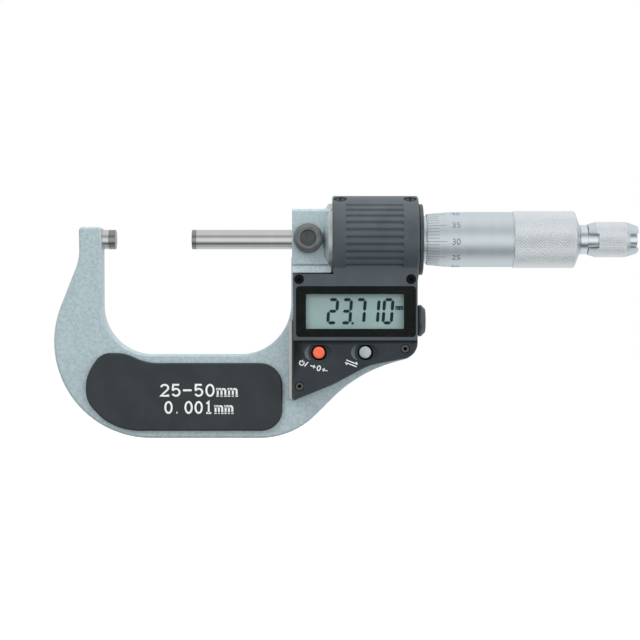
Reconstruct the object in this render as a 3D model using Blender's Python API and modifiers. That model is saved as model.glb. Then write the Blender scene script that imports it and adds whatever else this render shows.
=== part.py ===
"""Digital outside micrometer for 25 to 50 mm, built as separate pieces.

Place: the origin is the middle of the anvil's measuring face. +X runs along the
measuring axis towards the ratchet, +Z is up, so the bow hangs below the axis, and
the display looks along -Y. The spindle is drawn 0.3 mm short of closing on 25 mm.

Every size below is in millimetres. The helpers turn millimetres into metres.
"""

import math

import bmesh
import bpy
from mathutils import Vector

MM = 0.001

# ---------------------------------------------------------------- driving sizes

# clearances
FIT = 0.2  # between two pieces that touch or run on each other
TOUCH = 0.12  # between two small pieces that are pressed or brazed together

# measuring axis
ANVIL_RADIUS = 3.25
ANVIL_TIP_LENGTH = 2.1
ANVIL_END_X = -9.6
SPINDLE_RADIUS = 3.25
SPINDLE_FACE_X = 25.3
SPINDLE_TIP_LENGTH = 1.4
THREAD_RADIUS = 3.6
THREAD_START_X = 109.0
THREAD_END_X = 147.2
SPINDLE_END_X = 152.5

# bow
WEB_HALF = 4.5  # half the thickness of the bow
BOW_TOP_Z = 4.0
THROAT_LEFT_X = -4.2
THROAT_RIGHT_X = 58.4
THROAT_FLOOR_Z = -38.2
BOW_FLOOR_Z = -65.9
BOW_END_X = 97.5

# spindle block and the round spigot that carries the drum
BLOCK_TOP_Z = 9.8
BLOCK_BOTTOM_Z = -8.4
BLOCK_HALF_DEPTH = 8.0
BLOCK_END_X = 70.0
SPIGOT_START_X = 66.0
SPIGOT_RADIUS = 12.4
SPIGOT_END_X = 76.4
BUSH_RADIUS = 5.0

# grip plates on both faces of the bow
GRIP_THICKNESS = 1.6

# housing and drum
HOUSING_LEFT_X = 59.1
HOUSING_RIGHT_X = 99.9
HOUSING_TOP_Z = -11.7
HOUSING_FRONT = 10.8  # distance of the flat front from the middle plane
HOUSING_WALL = 1.8
FRONT_WALL = 1.6
PARTING = 0.1  # each shell stops this far from the middle plane
DRUM_RADIUS = 14.5
DRUM_BORE = 12.7
DRUM_START_X = 72.0
DRUM_END_X = 100.4
DRUM_EDGE = 0.7  # the drum's rounded end edges
GROOVE_START_X = 76.3
GROOVE_END_X = 95.2
GROOVE_COUNT = 10
GROOVE_TOP_ANGLE = 48.7  # degrees above straight forward
GROOVE_PITCH = 9.8
GROOVE_RADIUS = 0.55
STEP_Z = -33.6  # the lower panel lies 0.4 mm deeper than the display panel
STEP_DEPTH = 0.4

# display
WINDOW = (60.2, -32.2, 99.1, -15.9)  # low x, low z, high x, high z
LCD_VIEW = (63.3, -29.7, 95.4, -18.3)
LCD_GLASS = (62.6, -31.2, 96.2, -17.0)
BUTTON_RADIUS = 1.95
BUTTON_HOLE_RADIUS = 2.25
POWER_BUTTON = (67.5, -37.5)
UNIT_BUTTON = (82.7, -37.4)
BUTTON_STEM_RADIUS = 1.0
BUTTON_FLANGE_RADIUS = 2.6
BUTTON_HEIGHTS = (8.1, 8.4, 8.9, 10.6)  # stem end, flange bottom and top, and cap top
STRIP_HEIGHT = 1.6  # of the conducting rubber strips under the display's glass
SWITCH_HALF = 1.8
SWITCH_FRONT = 7.5
BOARD_FRONT = 6.2  # distance of the circuit board's front from the middle plane
BOARD_BACK = 5.2
PART_GAP = 0.2  # between the circuit board and what sits on it

# screws: x and z of the cover screws, x of the two drum screws
COVER_SCREWS = ((61.0, -13.5), (97.7, -13.5), (95.8, -36.2), (61.2, -48.5))
OVER_FRAME = (0, 3)  # these two cover screws go into the frame, the others into the rear shell
HEAD_DEPTH = 1.5
DRUM_SCREW_XS = (74.6, 97.6)
DRUM_SCREW_LEAN = 25.0  # degrees forward of the top
SCREW_SHANK = 0.8
SCREW_HOLE = 1.0
SCREW_HEAD = 1.4
SCREW_HEAD_HOLE = 1.6
SOCKET_RADIUS = 0.6
SOCKET_DEPTH = 0.5
POST_RADIUS = 1.85

# spindle lock
LOCK_X = 64.0
LOCK_KNOB_RADIUS = 4.85
LOCK_STEM_RADIUS = 2.2
LOCK_PAD_RADIUS = 1.5

# sleeves, thimble and ratchet
FLANGE = (95.5, 100.3)
INNER_SLEEVE_RADIUS = 5.6
INNER_SLEEVE_BORE = 3.8
INNER_SLEEVE_END_X = 146.0
OUTER_SLEEVE = (100.5, 136.0)
OUTER_SLEEVE_RADIUS = 7.9
THIMBLE_START_X = 103.2
THIMBLE_END_X = 154.0
THIMBLE_RADIUS = 9.17
THIMBLE_BORE = 8.1
KNURL_START_X = 131.9
KNURL_RADIUS = 9.5
RATCHET_START_X = 156.9
RATCHET_END_X = 173.5
RATCHET_RADIUS = 5.93
NOTCH_TURN = 8.0  # degrees that the knob's notches are turned down at the front

# battery compartment on the right-hand side
BATTERY_Z = -27.0
BATTERY_RADIUS = 3.95
BATTERY_CAP_RADIUS = 5.25
BATTERY_PLUG_RADIUS = 4.3
BATTERY_CAP_END_X = 102.9
HOLDER_START_X = 90.4
HOLDER_END_X = 97.8
HOLDER_RADIUS = 4.95
HOLDER_BORE = 4.15
CELL_START_X = 93.05
CELL_END_X = 98.4

# sides of a turned piece
ROUND = 36
MEDIUM = 24
SMALL = 16
DRUM_SIDES = 48
WELD_DISTANCE = 0.004
CUTTER_TWIST = 0.05  # radians, keeps a cutter's edges off the edges of what it cuts

# ---------------------------------------------------------------- scene helpers


def clear_scene():
    for thing in list(bpy.data.objects):
        bpy.data.objects.remove(thing, do_unlink=True)


def new_collection(name):
    collection = bpy.data.collections.new(name)
    bpy.context.scene.collection.children.link(collection)
    return collection


clear_scene()
PARTS = new_collection("outside_micrometer")
CUTTERS = new_collection("cutters")


def new_material(name, colour, roughness, metallic):
    material = bpy.data.materials.new(name)
    material.use_nodes = True
    shader = material.node_tree.nodes["Principled BSDF"]
    shader.inputs["Base Color"].default_value = (*colour, 1.0)
    shader.inputs["Roughness"].default_value = roughness
    shader.inputs["Metallic"].default_value = metallic
    return material


MATERIALS = {
    "hammer_paint": new_material("hammer_paint", (0.40, 0.50, 0.53), 0.45, 0.3),
    "charcoal": new_material("charcoal", (0.045, 0.052, 0.058), 0.5, 0.0),
    "housing": new_material("housing", (0.075, 0.09, 0.11), 0.45, 0.0),
    "satin_steel": new_material("satin_steel", (0.66, 0.68, 0.70), 0.3, 1.0),
    "carbide": new_material("carbide", (0.16, 0.16, 0.17), 0.3, 1.0),
    "brass": new_material("brass", (0.72, 0.55, 0.25), 0.35, 1.0),
    "black_gloss": new_material("black_gloss", (0.01, 0.013, 0.012), 0.15, 0.0),
    "lcd": new_material("lcd", (0.27, 0.36, 0.35), 0.3, 0.0),
    "board": new_material("board", (0.02, 0.16, 0.07), 0.5, 0.0),
    "dark_steel": new_material("dark_steel", (0.10, 0.10, 0.11), 0.4, 1.0),
    "rubber": new_material("rubber", (0.02, 0.02, 0.02), 0.8, 0.0),
    "red": new_material("red", (0.90, 0.11, 0.05), 0.4, 0.0),
    "grey": new_material("grey", (0.42, 0.44, 0.44), 0.4, 0.0),
}


def new_pivot(name, place):
    """An empty on a joint's axis. The pieces that move with the joint hang on it."""
    pivot = bpy.data.objects.new(name, None)
    pivot.location = Vector(place) * MM
    PARTS.objects.link(pivot)
    return pivot


def add_piece(name, mesh, material=None, pivot=None, place=(0, 0, 0), turn=(0, 0, 0)):
    """Add a piece of the object, or a cutter when it has no material."""
    piece = bpy.data.objects.new(name, mesh)
    home = Vector(place) * MM
    piece.rotation_euler = turn
    if material is None:
        CUTTERS.objects.link(piece)
        piece.hide_render = True
        piece.display_type = "WIRE"
    else:
        PARTS.objects.link(piece)
        mesh.materials.append(MATERIALS[material])
    if pivot is not None:
        piece.parent = pivot
        home = home - pivot.location
    piece.location = home
    return piece


def block(name, low, high, material=None, pivot=None):
    """A box between two corners."""
    low, high = Vector(low), Vector(high)
    shape = bmesh.new()
    bmesh.ops.create_cube(shape, size=1.0)
    bmesh.ops.scale(shape, vec=(high - low) * MM, verts=shape.verts)
    mesh = bpy.data.meshes.new(name)
    shape.to_mesh(mesh)
    shape.free()
    return add_piece(name, mesh, material, pivot, (low + high) / 2)


TURNS = {
    "x": (0.0, math.pi / 2, 0.0),  # the profile's height runs along +X
    "-y": (math.pi / 2, 0.0, 0.0),  # the profile's height runs towards the front
}


def clockwise(profile):
    """Order a profile of (height, radius) so that its outer side runs downwards."""
    area = 0.0
    for (h1, r1), (h2, r2) in zip(profile, profile[1:] + profile[:1]):
        area += r1 * h2 - r2 * h1
    return profile if area < 0 else profile[::-1]


def turned(name, profile, material=None, pivot=None, axis="x", place=(0, 0, 0), steps=MEDIUM):
    """A turned piece from (height, radius) points; it is a ring if none is on the axis."""
    profile = clockwise(list(profile))
    on_axis = [i for i, (_, radius) in enumerate(profile) if radius == 0]
    closed = not on_axis
    if not closed:
        while profile[0][1] != 0 or profile[-1][1] != 0:
            profile = profile[1:] + profile[:1]
    twist = CUTTER_TWIST if material is None else 0.0
    points = []
    for height, radius in profile:
        across = radius * MM
        points.append((across * math.cos(twist), across * math.sin(twist), height * MM))
    edges = [(i, i + 1) for i in range(len(points) - 1)]
    if closed:
        edges.append((len(points) - 1, 0))
    mesh = bpy.data.meshes.new(name)
    mesh.from_pydata(points, edges, [])
    piece = add_piece(name, mesh, material, pivot, place, TURNS[axis])
    screw = piece.modifiers.new("turn", "SCREW")
    screw.axis = "Z"
    screw.angle = 2 * math.pi
    screw.steps = steps
    screw.render_steps = steps
    screw.use_merge_vertices = True
    screw.merge_threshold = 1e-6
    return piece


def rod(name, radius, start, end, material=None, pivot=None, axis="x", place=(0, 0, 0), steps=SMALL):
    """A solid cylinder. Start and end are heights along the axis."""
    profile = [(start, 0), (start, radius), (end, radius), (end, 0)]
    return turned(name, profile, material, pivot, axis, place, steps)


def ring(name, bore, radius, start, end, material=None, pivot=None, steps=MEDIUM, **more):
    """A plain tube or washer."""
    profile = [(start, bore), (start, radius), (end, radius), (end, bore)]
    return turned(name, profile, material, pivot, steps=steps, **more)


def rounded(corners, step):
    """Points of a closed outline: each corner (x, z, radius) becomes an arc."""
    points = []
    count = len(corners)
    for i, (x, z, radius) in enumerate(corners):
        here = Vector((x, z))
        back = (Vector(corners[i - 1][:2]) - here).normalized()
        ahead = (Vector(corners[(i + 1) % count][:2]) - here).normalized()
        bend = math.pi - back.angle(ahead)
        if radius == 0 or bend < 1e-3:
            points.append((x, z))
            continue
        reach = radius * math.tan(bend / 2)
        middle = (back + ahead).normalized()
        centre = here + middle * (radius / math.cos(bend / 2))
        first = here + back * reach - centre
        pieces = max(1, round(math.degrees(bend) / step))
        side = 1.0 if back.x * ahead.y - back.y * ahead.x < 0 else -1.0
        for j in range(pieces + 1):
            angle = side * bend * j / pieces
            turned_x = first.x * math.cos(angle) - first.y * math.sin(angle)
            turned_z = first.x * math.sin(angle) + first.y * math.cos(angle)
            points.append((centre.x + turned_x, centre.y + turned_z))
    return points


def rectangle(low_x, low_z, high_x, high_z, radius=0.0, grow=0.0):
    low_x, low_z, high_x, high_z = low_x - grow, low_z - grow, high_x + grow, high_z + grow
    corners = [(low_x, low_z), (high_x, low_z), (high_x, high_z), (low_x, high_z)]
    return [(x, z, radius) for x, z in corners]


def plate(name, corners, back, front, material=None, pivot=None, step=15.0):
    """A flat piece with an outline in X and Z, between the depths back and front in Y."""
    curve = bpy.data.curves.new(name + "_outline", "CURVE")
    curve.dimensions = "2D"
    curve.fill_mode = "BOTH"
    curve.extrude = abs(back - front) / 2 * MM
    outline = rounded(corners, step)
    spline = curve.splines.new("POLY")
    spline.points.add(len(outline) - 1)
    for point, (x, z) in zip(spline.points, outline):
        point.co = (x * MM, z * MM, 0.0, 1.0)
    spline.use_cyclic_u = True
    source = bpy.data.objects.new(name + "_outline", curve)
    CUTTERS.objects.link(source)
    bpy.context.view_layer.update()
    evaluated = source.evaluated_get(bpy.context.evaluated_depsgraph_get())
    mesh = bpy.data.meshes.new_from_object(evaluated)
    bpy.data.objects.remove(source, do_unlink=True)
    bpy.data.curves.remove(curve)
    shape = bmesh.new()
    shape.from_mesh(mesh)
    bmesh.ops.remove_doubles(shape, verts=shape.verts, dist=1e-7)
    bmesh.ops.recalc_face_normals(shape, faces=shape.faces)
    shape.to_mesh(mesh)
    shape.free()
    mesh.name = name
    mesh.materials.clear()
    place = (0, (back + front) / 2, 0)
    return add_piece(name, mesh, material, pivot, place, TURNS["-y"])


def round_edges(piece, width, segments=1, angle=40):
    bevel = piece.modifiers.new("edges", "BEVEL")
    bevel.width = width * MM
    bevel.segments = segments
    bevel.limit_method = "ANGLE"
    bevel.angle_limit = math.radians(angle)


def boolean(piece, operation, *tools):
    """Cut or join a piece with all its tools in one exact step."""
    group = bpy.data.collections.new(f"{piece.name}_{operation.lower()}")
    CUTTERS.children.link(group)
    for tool in tools:
        CUTTERS.objects.unlink(tool)
        group.objects.link(tool)
    step = piece.modifiers.new(operation.lower(), "BOOLEAN")
    step.operation = operation
    step.solver = "EXACT"
    step.operand_type = "COLLECTION"
    step.collection = group


def cut(piece, *tools):
    boolean(piece, "DIFFERENCE", *tools)


def join(piece, *tools):
    boolean(piece, "UNION", *tools)


def weld_cut_pieces():
    """Close the hairline seams that a chain of cuts can leave, on every piece that was cut."""
    for piece in PARTS.objects:
        if any(step.type == "BOOLEAN" for step in piece.modifiers):
            weld = piece.modifiers.new("weld", "WELD")
            weld.merge_threshold = WELD_DISTANCE * MM


# ---------------------------------------------------------------- outlines


def frame_outline():
    return [
        (-4.4, BOW_TOP_Z, 1.0),
        (-12.0, BOW_TOP_Z, 1.3),
        (-11.8, -6.5, 15.0),
        (-35.0, BOW_FLOOR_Z, 32.0),
        (58.8, BOW_FLOOR_Z, 26.0),
        (80.7, -44.0, 46.0),
        (BOW_END_X, -39.4, 1.05),
        (BOW_END_X, -37.4, 1.05),
        (76.0, -37.4, 2.0),
        (76.0, -6.0, 0.0),
        (THROAT_RIGHT_X, -6.0, 0.0),
        (THROAT_RIGHT_X, THROAT_FLOOR_Z, 17.0),
        (THROAT_LEFT_X, THROAT_FLOOR_Z, 16.3),
    ]


def grip_outline():
    return [
        (55.5, -41.0, 7.5),
        (10.9, -41.0, 17.0),
        (3.4, -37.7, 11.0),
        (-4.4, -37.7, 5.6),
        (-9.4, -45.2, 13.0),
        (-9.4, -53.6, 9.0),
        (-3.2, -60.2, 15.0),
        (4.3, -63.4, 20.0),
        (55.5, -63.4, 7.0),
    ]


def housing_outline():
    return [
        (HOUSING_LEFT_X, HOUSING_TOP_Z, 1.0),
        (HOUSING_LEFT_X, -53.3, 0.3),
        (72.4, -47.9, 35.0),
        (83.9, -41.7, 15.0),
        (HOUSING_RIGHT_X, -38.7, 5.4),
        (HOUSING_RIGHT_X, -8.6, 0.0),
        (DRUM_START_X + 0.2, -8.6, 0.0),
        (DRUM_START_X + 0.2, HOUSING_TOP_Z, 0.0),
    ]


def cavity_outline():
    left = HOUSING_LEFT_X + HOUSING_WALL
    right = HOUSING_RIGHT_X - HOUSING_WALL
    top = HOUSING_TOP_Z - HOUSING_WALL
    return [
        (left, top, 0.5),
        (left, -50.1, 0.5),
        (71.8, -46.5, 30.0),
        (83.4, -40.4, 12.0),
        (right, -37.4, 3.6),
        (right, -7.8, 0.0),
        (DRUM_START_X + HOUSING_WALL, -7.8, 0.0),
        (DRUM_START_X + HOUSING_WALL, top, 0.0),
    ]


# ---------------------------------------------------------------- bow and anvil


def make_frame():
    """The painted casting: bow, spindle block, drum spigot and the rail under the housing."""
    frame = plate("frame", frame_outline(), WEB_HALF, -WEB_HALF, "hammer_paint", step=12.0)
    round_edges(frame, 0.8)
    spindle_block = block(
        "block_solid",
        (THROAT_RIGHT_X - 0.1, -BLOCK_HALF_DEPTH, BLOCK_BOTTOM_Z),
        (BLOCK_END_X, BLOCK_HALF_DEPTH, BLOCK_TOP_Z),
    )
    round_edges(spindle_block, 1.0)
    spigot = turned(
        "spigot_solid",
        [
            (SPIGOT_START_X, 3.0),
            (SPIGOT_START_X, BLOCK_HALF_DEPTH - 0.2),
            (BLOCK_END_X - 1.8, BLOCK_HALF_DEPTH - 0.2),
            (BLOCK_END_X - 1.0, BLOCK_HALF_DEPTH + 0.3),
            (BLOCK_END_X - 0.3, BLOCK_TOP_Z + 0.3),
            (DRUM_START_X - 0.4, SPIGOT_RADIUS - 0.1),
            (DRUM_START_X - 0.1, SPIGOT_RADIUS),
            (SPIGOT_END_X, SPIGOT_RADIUS),
            (SPIGOT_END_X, 3.0),
        ],
        steps=ROUND,
    )
    join(frame, spindle_block, spigot)
    anvil_bore = rod("anvil_bore", ANVIL_RADIUS + TOUCH, ANVIL_END_X - FIT, -2.0)
    spindle_bore = rod("spindle_bore", BUSH_RADIUS + FIT, 50.0, 90.0, steps=MEDIUM)
    lock_bore = rod("lock_bore", LOCK_STEM_RADIUS + 0.3, 4.0, 12.0, axis="-y", place=(LOCK_X, 0, 0))
    tools = [anvil_bore, spindle_bore, lock_bore]
    tools.append(drum_screw_tool("spigot_screw_hole", DRUM_SCREW_XS[0], SCREW_HOLE, 8.4, 13.5))
    for index in OVER_FRAME:
        x, z = COVER_SCREWS[index]
        for low, high in ((1.2, 6.0), (-6.0, -1.2)):
            tools.append(rod("screw_hole", SCREW_HOLE, low, high, axis="-y", place=(x, 0, z), steps=12))
    cut(frame, *tools)


def drum_screw_tool(name, x, radius, start, end, material=None, head=None):
    """A rod that leans with the drum screws; start and end are distances from the axis."""
    profile = [(start, 0), (start, radius), (end, radius), (end, 0)]
    if head is not None:
        head_start, head_radius = head
        profile = [
            (start, 0),
            (start, radius),
            (head_start, radius),
            (head_start, head_radius),
            (end, head_radius),
            (end, 0),
        ]
    tool = turned(name, profile, material, place=(x, 0, 0), steps=16)
    tool.rotation_euler = (math.radians(DRUM_SCREW_LEAN), 0.0, 0.0)
    return tool


def make_anvil():
    tip_back = -ANVIL_TIP_LENGTH
    rod("anvil", ANVIL_RADIUS, ANVIL_END_X, tip_back - TOUCH, "satin_steel", steps=MEDIUM)
    rod("anvil_tip", ANVIL_RADIUS, tip_back, 0.0, "carbide", steps=MEDIUM)


def make_grips():
    near = WEB_HALF + FIT
    far = near + GRIP_THICKNESS
    for name, back, front in (("front_grip_plate", -near, -far), ("rear_grip_plate", near, far)):
        grip = plate(name, grip_outline(), back, front, "charcoal", step=15.0)
        round_edges(grip, 0.35)


# ---------------------------------------------------------------- housing and drum


def frame_clearance():
    """The room that the frame takes inside the two housing shells."""
    return plate(
        "frame_room",
        [
            (50.0, -9.0, 0.0),
            (50.0, -72.0, 0.0),
            (BOW_END_X + 0.3, -72.0, 0.0),
            (BOW_END_X + 0.3, -37.1, 0.0),
            (76.3, -37.1, 0.0),
            (76.3, -9.0, 0.0),
        ],
        WEB_HALF + 0.3,
        -WEB_HALF - 0.3,
    )


def groove_tool(name, angle):
    """A long rod that sinks one groove into the drum; the angle is above straight forward."""
    tool = rod(name, GROOVE_RADIUS, GROOVE_START_X, GROOVE_END_X, steps=8)
    reach = DRUM_RADIUS * MM
    tool.location = Vector((0.0, -math.cos(angle) * reach, math.sin(angle) * reach))
    return tool


def screw_post(name, x, z, side, inner):
    outer = HOUSING_FRONT - FRONT_WALL / 2
    low, high = sorted((side * inner, side * outer))
    return rod(name, POST_RADIUS, low, high, axis="-y", place=(x, 0, z), steps=16)


def drum_solid():
    profile = [
        (DRUM_START_X, 0),
        (DRUM_START_X, DRUM_RADIUS - DRUM_EDGE),
        (DRUM_START_X + DRUM_EDGE, DRUM_RADIUS),
        (DRUM_END_X - DRUM_EDGE, DRUM_RADIUS),
        (DRUM_END_X, DRUM_RADIUS - DRUM_EDGE),
        (DRUM_END_X, 0),
    ]
    return turned("drum_solid", profile, steps=DRUM_SIDES)


def make_housing():
    """Two half shells, parted on the middle plane, around the frame's right arm."""
    for name, side in (("housing_front", 1), ("housing_rear", -1)):
        # side is +1 towards the front, because rods along "-y" measure height that way
        shell = plate(name, housing_outline(), HOUSING_FRONT, -HOUSING_FRONT, "housing")
        join(shell, drum_solid())
        inside = HOUSING_FRONT - FRONT_WALL
        cavity = plate("cavity", cavity_outline(), inside, -inside)
        drum_bore = rod("drum_bore", DRUM_BORE, DRUM_START_X - 1.0, DRUM_END_X + 1.0, steps=DRUM_SIDES)
        cut(shell, cavity, drum_bore)
        posts = []
        for index, (x, z) in enumerate(COVER_SCREWS):
            inner = WEB_HALF + 0.2 if index in OVER_FRAME else -1.0
            posts.append(screw_post(f"post_{index + 1}", x, z, side, inner))
        join(shell, *posts)
        tools = [frame_clearance(), other_half(side)]
        tools.append(
            rod("cap_hole", BATTERY_PLUG_RADIUS + FIT, 96.0, 104.0, place=(0, 0, BATTERY_Z), steps=MEDIUM)
        )
        tools += screw_hole_tools(side)
        tools += groove_tools(side)
        if side > 0:
            tools += front_opening_tools()
        cut(shell, *tools)


def other_half(side):
    low, high = (-PARTING, 40.0) if side > 0 else (-40.0, PARTING)
    return block("other_half", (40.0, low, -80.0), (120.0, high, 30.0))


def groove_tools(side):
    tools = []
    for index in range(GROOVE_COUNT):
        angle = math.radians(GROOVE_TOP_ANGLE - index * GROOVE_PITCH)
        tools.append(groove_tool(f"groove_{index + 1}", angle if side > 0 else math.pi - angle))
    return tools


def screw_hole_tools(side):
    tools = []
    for index, (x, z) in enumerate(COVER_SCREWS):
        if side > 0 or index in OVER_FRAME:
            head_start = HOUSING_FRONT - HEAD_DEPTH
            spots = ((SCREW_HOLE, -0.7, head_start + 0.5), (SCREW_HEAD_HOLE, head_start, 14.0))
        else:
            spots = ((SCREW_HOLE, -0.7, 4.2),)
        for radius, start, end in spots:
            low, high = sorted((side * start, side * end))
            tools.append(rod("screw_hole", radius, low, high, axis="-y", place=(x, 0, z), steps=12))
    if side > 0:
        for x in DRUM_SCREW_XS:
            tools.append(drum_screw_tool("drum_hole", x, SCREW_HOLE, 11.0, 16.0, head=(13.2, 2.15)))
    return tools


def front_opening_tools():
    front = -HOUSING_FRONT
    tools = [
        block("lower_panel_tool", (50.0, front - 1.0, -80.0), (110.0, front + STEP_DEPTH, STEP_Z)),
        plate("window_rebate", rectangle(*WINDOW, radius=1.0, grow=FIT), front + 1.2, front - 1.0),
        plate("lcd_opening", rectangle(*LCD_VIEW), front + 4.0, front - 1.0),
    ]
    for x, z in (POWER_BUTTON, UNIT_BUTTON):
        tools.append(rod("button_hole", BUTTON_HOLE_RADIUS, 8.0, 14.0, axis="-y", place=(x, 0, z)))
    return tools


def screw_profile(tip, head_start, head_end):
    return [
        (tip, 0),
        (tip, SCREW_SHANK),
        (head_start, SCREW_SHANK),
        (head_start, SCREW_HEAD),
        (head_end, SCREW_HEAD),
        (head_end, 0),
    ]


def socket_tool(x, z, low, high):
    """The hexagonal recess in a screw's head."""
    return rod("socket", SOCKET_RADIUS, low, high, axis="-y", place=(x, 0, z), steps=6)


def make_screws():
    """Socket screws, four from the front and two from the rear, and two slotted ones in the drum."""
    head_start = HOUSING_FRONT - HEAD_DEPTH + 0.1
    head_end = head_start + 0.95
    for index, (x, z) in enumerate(COVER_SCREWS):
        tip = 1.6 if index in OVER_FRAME else -3.8
        screw = turned(
            f"cover_screw_{index + 1}",
            screw_profile(tip, head_start, head_end),
            "dark_steel",
            axis="-y",
            place=(x, 0, z),
            steps=12,
        )
        cut(screw, socket_tool(x, z, head_end - SOCKET_DEPTH, head_end + 1.0))
    for number, index in enumerate(OVER_FRAME):
        x, z = COVER_SCREWS[index]
        screw = turned(
            f"rear_screw_{number + 1}",
            screw_profile(-1.6, -head_start, -head_end),
            "dark_steel",
            axis="-y",
            place=(x, 0, z),
            steps=12,
        )
        cut(screw, socket_tool(x, z, -head_end - 1.0, -head_end + SOCKET_DEPTH))
    for number, x in enumerate(DRUM_SCREW_XS):
        screw = drum_screw_tool(
            f"drum_screw_{number + 1}", x, SCREW_SHANK, 9.0, 14.2, "dark_steel", head=(13.35, 1.95)
        )
        slot = block("slot", (x - 0.25, -3.0, 13.8), (x + 0.25, 3.0, 16.0))
        tilt_about_axis(slot)
        cut(screw, slot)


def tilt_about_axis(tool):
    """Swing a tool about the measuring axis by the lean of the drum screws."""
    lean = math.radians(DRUM_SCREW_LEAN)
    height = tool.location.z
    tool.location.y = -math.sin(lean) * height
    tool.location.z = math.cos(lean) * height
    tool.rotation_euler = (lean, 0.0, 0.0)


# ---------------------------------------------------------------- display and electronics


def make_display():
    front = -HOUSING_FRONT
    outline = rectangle(*WINDOW, radius=1.0)
    window = plate("display_window", outline, front + 1.1, front + 0.1, "black_gloss")
    round_edges(window, 0.2)
    block("lcd_panel", box_low(LCD_GLASS, -9.05), box_high(LCD_GLASS, -7.75), "lcd")
    for name, low_z in (("zebra_strip_upper", -18.8), ("zebra_strip_lower", -31.1)):
        block(name, (63.5, -7.6, low_z), (95.7, -BOARD_FRONT - PART_GAP, low_z + STRIP_HEIGHT), "rubber")
    board_outline = [
        (62.0, -16.0, 0.5),
        (62.0, -39.2, 0.5),
        (84.8, -39.2, 0.5),
        (87.0, -33.7, 0.5),
        (95.6, -33.7, 0.5),
        (95.6, -16.0, 0.5),
    ]
    plate("circuit_board", board_outline, -BOARD_BACK, -BOARD_FRONT, "board")
    seat = -BOARD_FRONT - PART_GAP
    block("control_chip", (74.0, -7.5, -27.5), (82.0, seat, -20.5), "black_gloss")
    for name, (x, z) in (("power_key_switch", POWER_BUTTON), ("unit_key_switch", UNIT_BUTTON)):
        low = (x - SWITCH_HALF, -SWITCH_FRONT, z - SWITCH_HALF)
        high = (x + SWITCH_HALF, seat, z + SWITCH_HALF)
        block(name, low, high, "dark_steel")
    block("encoder_ribbon", (88.9, -4.95, -24.0), (92.3, -4.65, -11.8), "brass")


def box_low(rect, y):
    return (rect[0], y, rect[1])


def box_high(rect, y):
    return (rect[2], y, rect[3])


def make_buttons():
    for name, (x, z), material in (
        ("power_button", POWER_BUTTON, "red"),
        ("unit_button", UNIT_BUTTON, "grey"),
    ):
        pivot = new_pivot(name + "_axis", (x, -HOUSING_FRONT, z))
        stem_end, flange_bottom, flange_top, top = BUTTON_HEIGHTS
        profile = [
            (stem_end, 0),
            (stem_end, BUTTON_STEM_RADIUS),
            (flange_bottom, BUTTON_STEM_RADIUS),
            (flange_bottom, BUTTON_FLANGE_RADIUS),
            (flange_top, BUTTON_FLANGE_RADIUS),
            (flange_top, BUTTON_RADIUS),
            (top - 0.2, BUTTON_RADIUS),
            (top, BUTTON_RADIUS - 0.25),
            (top, 0),
        ]
        turned(name, profile, material, pivot, axis="-y", place=(x, 0, z), steps=24)


def make_battery():
    place = (0, 0, BATTERY_Z)
    floor_x = HOLDER_START_X + 0.9
    cup = [
        (HOLDER_START_X, 0),
        (HOLDER_START_X, HOLDER_RADIUS),
        (HOLDER_END_X, HOLDER_RADIUS),
        (HOLDER_END_X, HOLDER_BORE),
        (floor_x, HOLDER_BORE),
        (floor_x, 0),
    ]
    turned("battery_holder", cup, "charcoal", place=place)
    leaf = [
        (91.5, -24.4, 0),
        (91.75, -24.4, 0),
        (92.85, -27.0, 0),
        (91.75, -29.6, 0),
        (91.5, -29.6, 0),
        (92.55, -27.0, 0),
    ]
    plate("battery_contact", leaf, 1.2, -1.2, "brass")
    shoulder_x = CELL_START_X + 0.35
    cell = [
        (CELL_START_X, 0),
        (CELL_START_X, 3.3),
        (shoulder_x, 3.3),
        (shoulder_x, BATTERY_RADIUS),
        (CELL_END_X, BATTERY_RADIUS),
        (CELL_END_X, 0),
    ]
    turned("battery_cell", cell, "satin_steel", place=place)
    pivot = new_pivot("battery_cap_axis", (101.0, 0, BATTERY_Z))
    ring(
        "battery_cap_seal",
        BATTERY_PLUG_RADIUS + 0.15,
        BATTERY_CAP_RADIUS - 0.1,
        HOUSING_RIGHT_X + 0.15,
        HOUSING_RIGHT_X + 0.65,
        "rubber",
        pivot,
        place=place,
    )
    plug_start = CELL_END_X + FIT
    rim_start = HOUSING_RIGHT_X + 0.8
    cap_profile = [
        (plug_start, 0),
        (plug_start, BATTERY_PLUG_RADIUS),
        (rim_start, BATTERY_PLUG_RADIUS),
        (rim_start, BATTERY_CAP_RADIUS),
        (rim_start + 0.8, BATTERY_CAP_RADIUS),
        (BATTERY_CAP_END_X, 3.9),
        (BATTERY_CAP_END_X, 0),
    ]
    cap = turned("battery_cap", cap_profile, "charcoal", pivot, place=place)
    slot_low = (BATTERY_CAP_END_X - 0.8, -0.6, BATTERY_Z - 5.0)
    cut(cap, block("coin_slot", slot_low, (BATTERY_CAP_END_X + 1.0, 0.6, BATTERY_Z + 5.0)))


# ---------------------------------------------------------------- spindle, encoder and lock


def make_bush():
    bush = ring("spindle_bush", SPINDLE_RADIUS + FIT, BUSH_RADIUS, 58.7, 75.9, "brass")
    pad_hole = rod("pad_hole", LOCK_PAD_RADIUS + 0.3, 2.0, 8.0, axis="-y", place=(LOCK_X, 0, 0), steps=16)
    cut(bush, pad_hole)


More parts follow.
